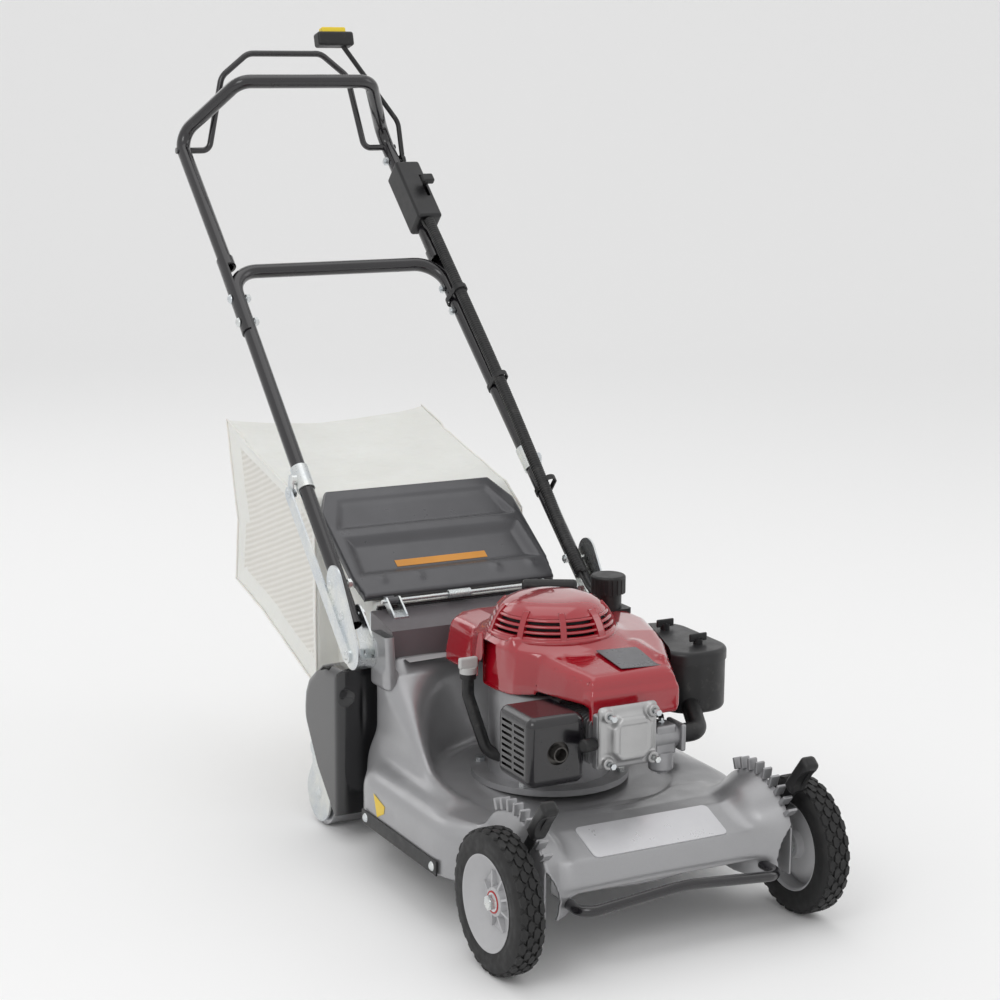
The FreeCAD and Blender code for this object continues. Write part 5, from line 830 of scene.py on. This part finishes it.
def make_lid():
    """The pressed sheet: a stepped pan and shelf with soft walls and a turned-down edge."""
    outline = [(-168, 14), (168, 14), (175, 60), (175, 202), (149, 254), (-149, 254), (-175, 202), (-175, 60)]
    step = 2.5
    us = np.arange(-178, 178.1, step)
    vs = np.arange(10, 258.1, step)
    u, v = np.meshgrid(us, vs, indexing="ij")
    edge = polygon(u, v, outline)
    pan = polygon(u, v, [(-164, 56), (164, 56), (158, 147), (-158, 147)])
    shelf = polygon(u, v, [(-164, 161), (164, 161), (137, 233), (-137, 233)])

    def sink(distance, depth, wall):
        t = np.clip((-distance) / wall, 0, 1)
        return -depth * t * t * (3 - 2 * t)

    h = sink(pan, 9.0, 20.0) + sink(shelf, 7.0, 12.0) * np.clip((232 - v) / 60, 0.3, 1)
    for spot in (-127, -62, 75, 139):
        h += 2.6 * np.exp(-(((u - spot) / 7) ** 2 + ((v - 47) / 9) ** 2))
    turn = np.clip((edge + 6.0) / 6.0, 0, 1)
    h -= turn ** 2 * 3.0
    inside = edge < 0
    index = np.full(u.shape, -1, int)
    points, faces = [], []
    near = inside.copy()
    for di in (-1, 0, 1):
        for dj in (-1, 0, 1):
            near |= np.roll(np.roll(inside, di, 0), dj, 1)
    gu, gv = np.gradient(edge, step)
    length = np.sqrt(gu ** 2 + gv ** 2) + 1e-9
    pull = np.where(edge > 0, edge, 0)
    uu, vv = u - gu / length * pull, v - gv / length * pull
    for i, j in np.argwhere(near):
        index[i, j] = len(points)
        points.append(on_lid(uu[i, j], vv[i, j], h[i, j] - (9.0 if edge[i, j] > 0 else 0.0)))
    for i in range(len(us) - 1):
        for j in range(len(vs) - 1):
            ring = [index[i, j], index[i + 1, j], index[i + 1, j + 1], index[i, j + 1]]
            if min(ring) >= 0:
                faces.append(ring)
    lid = piece("lid_sheet", points, faces, "lid", "lid_paint", nodes=["lid"])
    modifier(lid, "SMOOTH", factor=0.5, iterations=2)
    modifier(lid, "SOLIDIFY", thickness=0.0016, offset=-1.0)
    ears = []
    for side in (-1, 1):
        x0, x1 = side * 128 - 9, side * 128 + 9
        ears.append(revolve([(3.05, x0), (6, x0), (6, x1), (3.05, x1)], 40, "x", (0, HINGE_Y, HINGE_Z)))
        flat = [on_lid(a, b, c) for a in (x0, x1) for b in (3, 24) for c in (-6, -4.2)]
        ears.append((flat, BLOCK_FACES))
    piece("lid_ears", *merged(*ears), "lid", "lid_paint", smooth=False)
    label = [on_lid(a, b, c) for a in (-86, 75) for b in (78, 92) for c in (-8.9, -8.4)]
    piece("lid_label", label, BLOCK_FACES, "lid", "lid_paint", look="orange_label", smooth=False)


# ---- grass bag ---------------------------------------------------------------------------------
def make_bag():
    """A sewn cloth shell: flat-cut panels that sag between piped seams, with peaked rear corners."""
    section = [(742, 198), (969, 273), (1094, 302), (1080, 410), (1126, 572), (812, 498), (798, 496),
               (742, 461)]
    rings = []
    for (y0, z0), (y1, z1) in zip(section, section[1:] + section[:1]):
        count = max(1, int(math.hypot(y1 - y0, z1 - z0) / 9))
        for i in range(count):
            rings.append((y0 + (y1 - y0) * i / count, z0 + (z1 - z0) * i / count))
    middle = Vector((0, 930, 385))
    across = 42
    points, faces = [], []
    size = len(rings)

    def shaped(x, y, z, side_face):
        u = x / BAG_HALF
        n = noise.noise(Vector((x * 0.006, y * 0.011, z * 0.013)))
        fine = noise.noise(Vector((x * 0.02 + 7, y * 0.03, z * 0.04)))
        if side_face:
            depth = min(1.0, max(0.0, -float(polygon(np.array([y]), np.array([z]), section)[0]) / 70))
            inward = 13 * math.sin(depth * math.pi / 2) + 5 * n * depth + 1.6 * fine
            return (math.copysign(BAG_HALF - inward - 1.5, x), y, z)
        sag = 1 - u * u
        d = Vector((0, middle.y - y, middle.z - z)).normalized()
        amount = sag * (9 + 6 * n) + 1.5 * fine
        peak = 0.0
        if y > 1040 and z > 520:
            peak = 7 * abs(u) ** 6 * (z - 520) / 55
        return (x, y + d.y * amount, z + d.z * amount + peak - 4)

    for i in range(across + 1):
        x = -BAG_HALF + 2 * BAG_HALF * i / across
        for y, z in rings:
            points.append(shaped(x, y, z, False))
    for i in range(across):
        for k in range(size):
            n = (k + 1) % size
            faces.append((i * size + k, (i + 1) * size + k, (i + 1) * size + n, i * size + n))
    for side in (-1, 1):
        base = 0 if side < 0 else across * size
        levels = 14
        previous = [base + k for k in range(size)]
        for level in range(1, levels):
            share = 1 - level / levels
            current = []
            for y, z in rings:
                yy, zz = middle.y + (y - middle.y) * share, middle.z + (z - middle.z) * share
                current.append(len(points))
                points.append(shaped(side * BAG_HALF, yy, zz, True))
            for k in range(size):
                n = (k + 1) % size
                quad = (previous[k], previous[n], current[n], current[k])
                faces.append(quad if side < 0 else tuple(reversed(quad)))
            previous = current
        centre = len(points)
        points.append(shaped(side * BAG_HALF, middle.y, middle.z, True))
        for k in range(size):
            n = (k + 1) % size
            tri = (previous[k], previous[n], centre)
            faces.append(tri if side < 0 else tuple(reversed(tri)))
    open_mouth = [f for f in faces if not all(abs(points[i][1] - 742) < 14 and abs(points[i][0]) < 141 and
                                              210 < points[i][2] < 452 for i in f)]
    bag = piece("bag_shell", points, open_mouth, "grass_bag", "bag_fabric", nodes=["grass_bag"])
    bag.data.materials.append(looks["bag_net"])
    for poly in bag.data.polygons:
        c = poly.center
        y, z = c.y / MM + MIDDLE_Y, c.z / MM
        if abs(poly.normal.x) > 0.8 and float(polygon(np.array([y]), np.array([z]), section)[0]) < -26:
            poly.material_index = 1
    modifier(bag, "SUBSURF", levels=1, render_levels=1)
    modifier(bag, "SOLIDIFY", thickness=0.0012, offset=-1.0)
    seams = []
    for side in (-1, 1):
        path = [points[(0 if side < 0 else across * size) + k] for k in range(size)]
        path = [(p[0] * 0.998, p[1], p[2]) for p in path]
        seams.append(tube(path, 1.6, 8, closed=True))
    piece("bag_piping", *merged(*seams), "grass_bag", "bag_fabric")
    points, faces = [], []
    stations = 14
    for i in range(stations + 1):
        y = NECK_Y0 + (NECK_Y1 - NECK_Y0) * i / stations
        top = HINGE_Z + (y - HINGE_Y) * math.tan(LID_SLOPE) - 19
        low = 193 + 3 * i / stations
        ring = []
        for a in range(16):
            ring.append((-NECK_HALF + 2 * NECK_HALF * a / 15, low))
        for a in range(1, 12):
            ring.append((NECK_HALF, low + (top - low) * a / 12))
        for a in range(16):
            ring.append((NECK_HALF - 2 * NECK_HALF * a / 15, top))
        for a in range(1, 12):
            ring.append((-NECK_HALF, top + (low - top) * a / 12))
        for x, z in ring:
            pucker = 2.2 * noise.noise(Vector((x * 0.05, y * 0.02, z * 0.05))) - 2.4
            w = min(1.0, (y - NECK_Y0) / 25)
            points.append((x + math.copysign(1, x) * pucker * w * (abs(x) > 146), y,
                           z + (pucker * w if z < low + 1 else -abs(pucker) * w if z > top - 1 else 0)))
    n_ring = len(ring)
    for i in range(stations):
        for k in range(n_ring):
            n = (k + 1) % n_ring
            faces.append((i * n_ring + k, i * n_ring + n, (i + 1) * n_ring + n, (i + 1) * n_ring + k))
    neck = piece("bag_neck", points, faces, "grass_bag", "bag_fabric")
    modifier(neck, "SOLIDIFY", thickness=0.0012, offset=-1.0)


# ---- cables ------------------------------------------------------------------------------------
SLOPE = math.radians(42.4)


def leg_point(y):
    x = 209 + (197 - 209) * (y - 541) / (1076 - 541) if y < 1076 else 197
    return Vector((x, y, 346 + (y - 541) * math.tan(SLOPE)))


def over_leg(y, x, lift=27.0):
    spot = leg_point(y) + Vector((0, -math.sin(SLOPE), math.cos(SLOPE))) * lift
    return Vector((x, spot.y, spot.z))


def smooth_line(route, order=3, cuts=24):
    """Points along one smooth spline that has the route as its control points, in drawn millimetres."""
    curve = bpy.data.curves.new("line", "CURVE")
    curve.dimensions = "3D"
    curve.resolution_u = cuts
    spline = curve.splines.new("NURBS")
    spline.points.add(len(route) - 1)
    for point, place in zip(spline.points, route):
        point.co = (*place, 1)
    spline.order_u = order
    spline.use_endpoint_u = True
    holder = bpy.data.objects.new("line", curve)
    bpy.context.scene.collection.objects.link(holder)
    mesh = bpy.data.meshes.new_from_object(holder)
    found = [v.co.copy() for v in mesh.vertices]
    bpy.data.objects.remove(holder)
    return found


def make_conduit():
    """The corrugated tube along the upper side of the leg, and the three straps round both."""
    route = [over_leg(1134, 197.0), over_leg(1014, 198.0), over_leg(866, 199.0), over_leg(700, 194.0),
             over_leg(612, 187.5, 28.0), over_leg(560, 187.0, 33.0)]
    line = smooth_line(route, cuts=40)
    dense = []
    for a, b in zip(line, line[1:]):
        steps = max(1, int((b - a).length / 0.9))
        dense += [a.lerp(b, i / steps) for i in range(steps)]
    travelled = 0.0
    radii = []
    for i, p in enumerate(dense):
        if i:
            travelled += (p - dense[i - 1]).length
        radii.append(9.3 + 0.75 * math.sin(travelled * 2 * math.pi / 4.6))
    piece("conduit", *tube(dense, radii, 18), "machine", "black_plastic", nodes=["cable_conduit"])
    straps = []
    for y, leg_r in ((1013.0, 15.2), (866.0, 12.3), (700.0, 12.3)):
        spot = leg_point(y)
        up = Vector((0, math.cos(SLOPE), math.sin(SLOPE)))
        off = Vector((0, -math.sin(SLOPE), math.cos(SLOPE)))
        far = over_leg(y, spot.x)
        outline = []
        for k in range(17):
            turn = math.pi * k / 16
            outline.append(spot + (X_AXIS * math.cos(turn) * -1 - off * math.sin(turn)) * (leg_r + 1.6))
        for k in range(17):
            turn = math.pi * k / 16
            outline.append(far + (X_AXIS * math.cos(turn) + off * math.sin(turn)) * 12.6)
        points, faces = [], []
        for inset in (0.0, 2.0):
            for shift in (-4.5, 4.5):
                for p in outline:
                    hub = spot if (p - spot).length < (p - far).length else far
                    points.append(p + (hub - p).normalized() * inset + up * shift)
        n = len(outline)
        for k in range(n):
            m = (k + 1) % n
            faces += [(k, m, n + m, n + k), (2 * n + k, 3 * n + k, 3 * n + m, 2 * n + m),
                      (k, 2 * n + k, 2 * n + m, m), (n + k, n + m, 3 * n + m, 3 * n + k)]
        straps.append((points, faces))
    piece("conduit_straps", *merged(*straps), "machine", "black_plastic", smooth=False)


# ---- rocker cover ------------------------------------------------------------------------------
def rocker_field(x, y, z):
    plate = soft_block(x, y, z, -51, 43, 68, 78, 231, 321, 6)
    mid = np.maximum(np.abs(x + 4) - 34, np.abs(z - 276) - 33)
    octagon = np.maximum(mid, (np.abs(x + 4) + np.abs(z - 276) - 52) * 0.7071)
    raised = smax(octagon + np.clip(66 - y, 0, 30) * 0.25, 53 - y, 5)
    raised = smax(raised, y - 76, 1)
    form = smin(plate, raised, 9)
    for sx in (-40, 32):
        for sz in (242, 310):
            boss = smax(dist_round(x, z, sx, sz) - 8.5, np.maximum(59 - y, y - 76), 1.5)
            form = smin(form, boss, 5)
            form = smax(form, -(smax(dist_round(x, z, sx, sz) - 3.2, y - 90, 1)), 0.8)
    dish = soft_block(x, y, z, -27, 19, 45, 54.2, 255, 297, 2)
    return smax(form, -dish, 2)


def make_rocker():
    points, faces = surface_net(rocker_field, (-54, 49, 228), (46, 81, 324), 1.25)
    piece("rocker_casting", points, faces, "machine", "rocker_alloy", nodes=["rocker_cover"])


# ---- small trim --------------------------------------------------------------------------------
def plate_on(name, corners, normal, thick, look, slot, body="machine"):
    """A thin plain plate through four corners."""
    lift = Vector(normal).normalized() * thick
    low = [Vector(c) for c in corners]
    points = low + [c + lift for c in low]
    faces = [(3, 2, 1, 0), (4, 5, 6, 7), (0, 1, 5, 4), (1, 2, 6, 5), (2, 3, 7, 6), (3, 0, 4, 7)]
    made = piece(name, points, faces, body, slot, look=look, smooth=False)
    modifier(made, "BEVEL", width=0.0003, segments=1)
    return made


def make_trim():
    plate_on("flank_label", [(-248.2, 388, 131), (-248.2, 349, 122), (-248.2, 352, 110), (-248.2, 376, 98)],
             (-1, 0, 0), 0.5, "yellow_label", "deck_paint")
    plate_on("deck_label", [(-150, 470, 298.6), (-46, 470, 300.4), (-46, 491, 300.6), (-150, 491, 299.4)],
             (0, 0, 1), 0.6, "pale_label", "deck_paint")
    plate_on("housing_plate", [(14, 122, 356.6), (84, 122, 353.0), (76, 186, 364.6), (10, 186, 367.5)],
             (0, -0.16, 1), 1.2, "grey_label", "red_gloss")


# ---- carried-over CAD nodes --------------------------------------------------------------------
def dress_cad():
    """The nodes whose shape is right keep it and get their finish."""
    slots = {row["node"]: row["material_slot"] for row in frame["record"]["subparts"]}
    for name, node in frame["nodes"].items():
        if node.hide_render:
            continue
        node.data.materials.clear()
        node.data.materials.append(looks[slots[name]])


looks = make_materials()
make_camera()
make_stage()
make_deck()
make_posts()
make_cowl()
make_dome()
for sign, label in ((1, "left"), (-1, "right")):
    make_wheel(sign, label)
make_covers()
make_lid()
make_bag()
make_conduit()
make_rocker()
make_trim()
dress_cad()
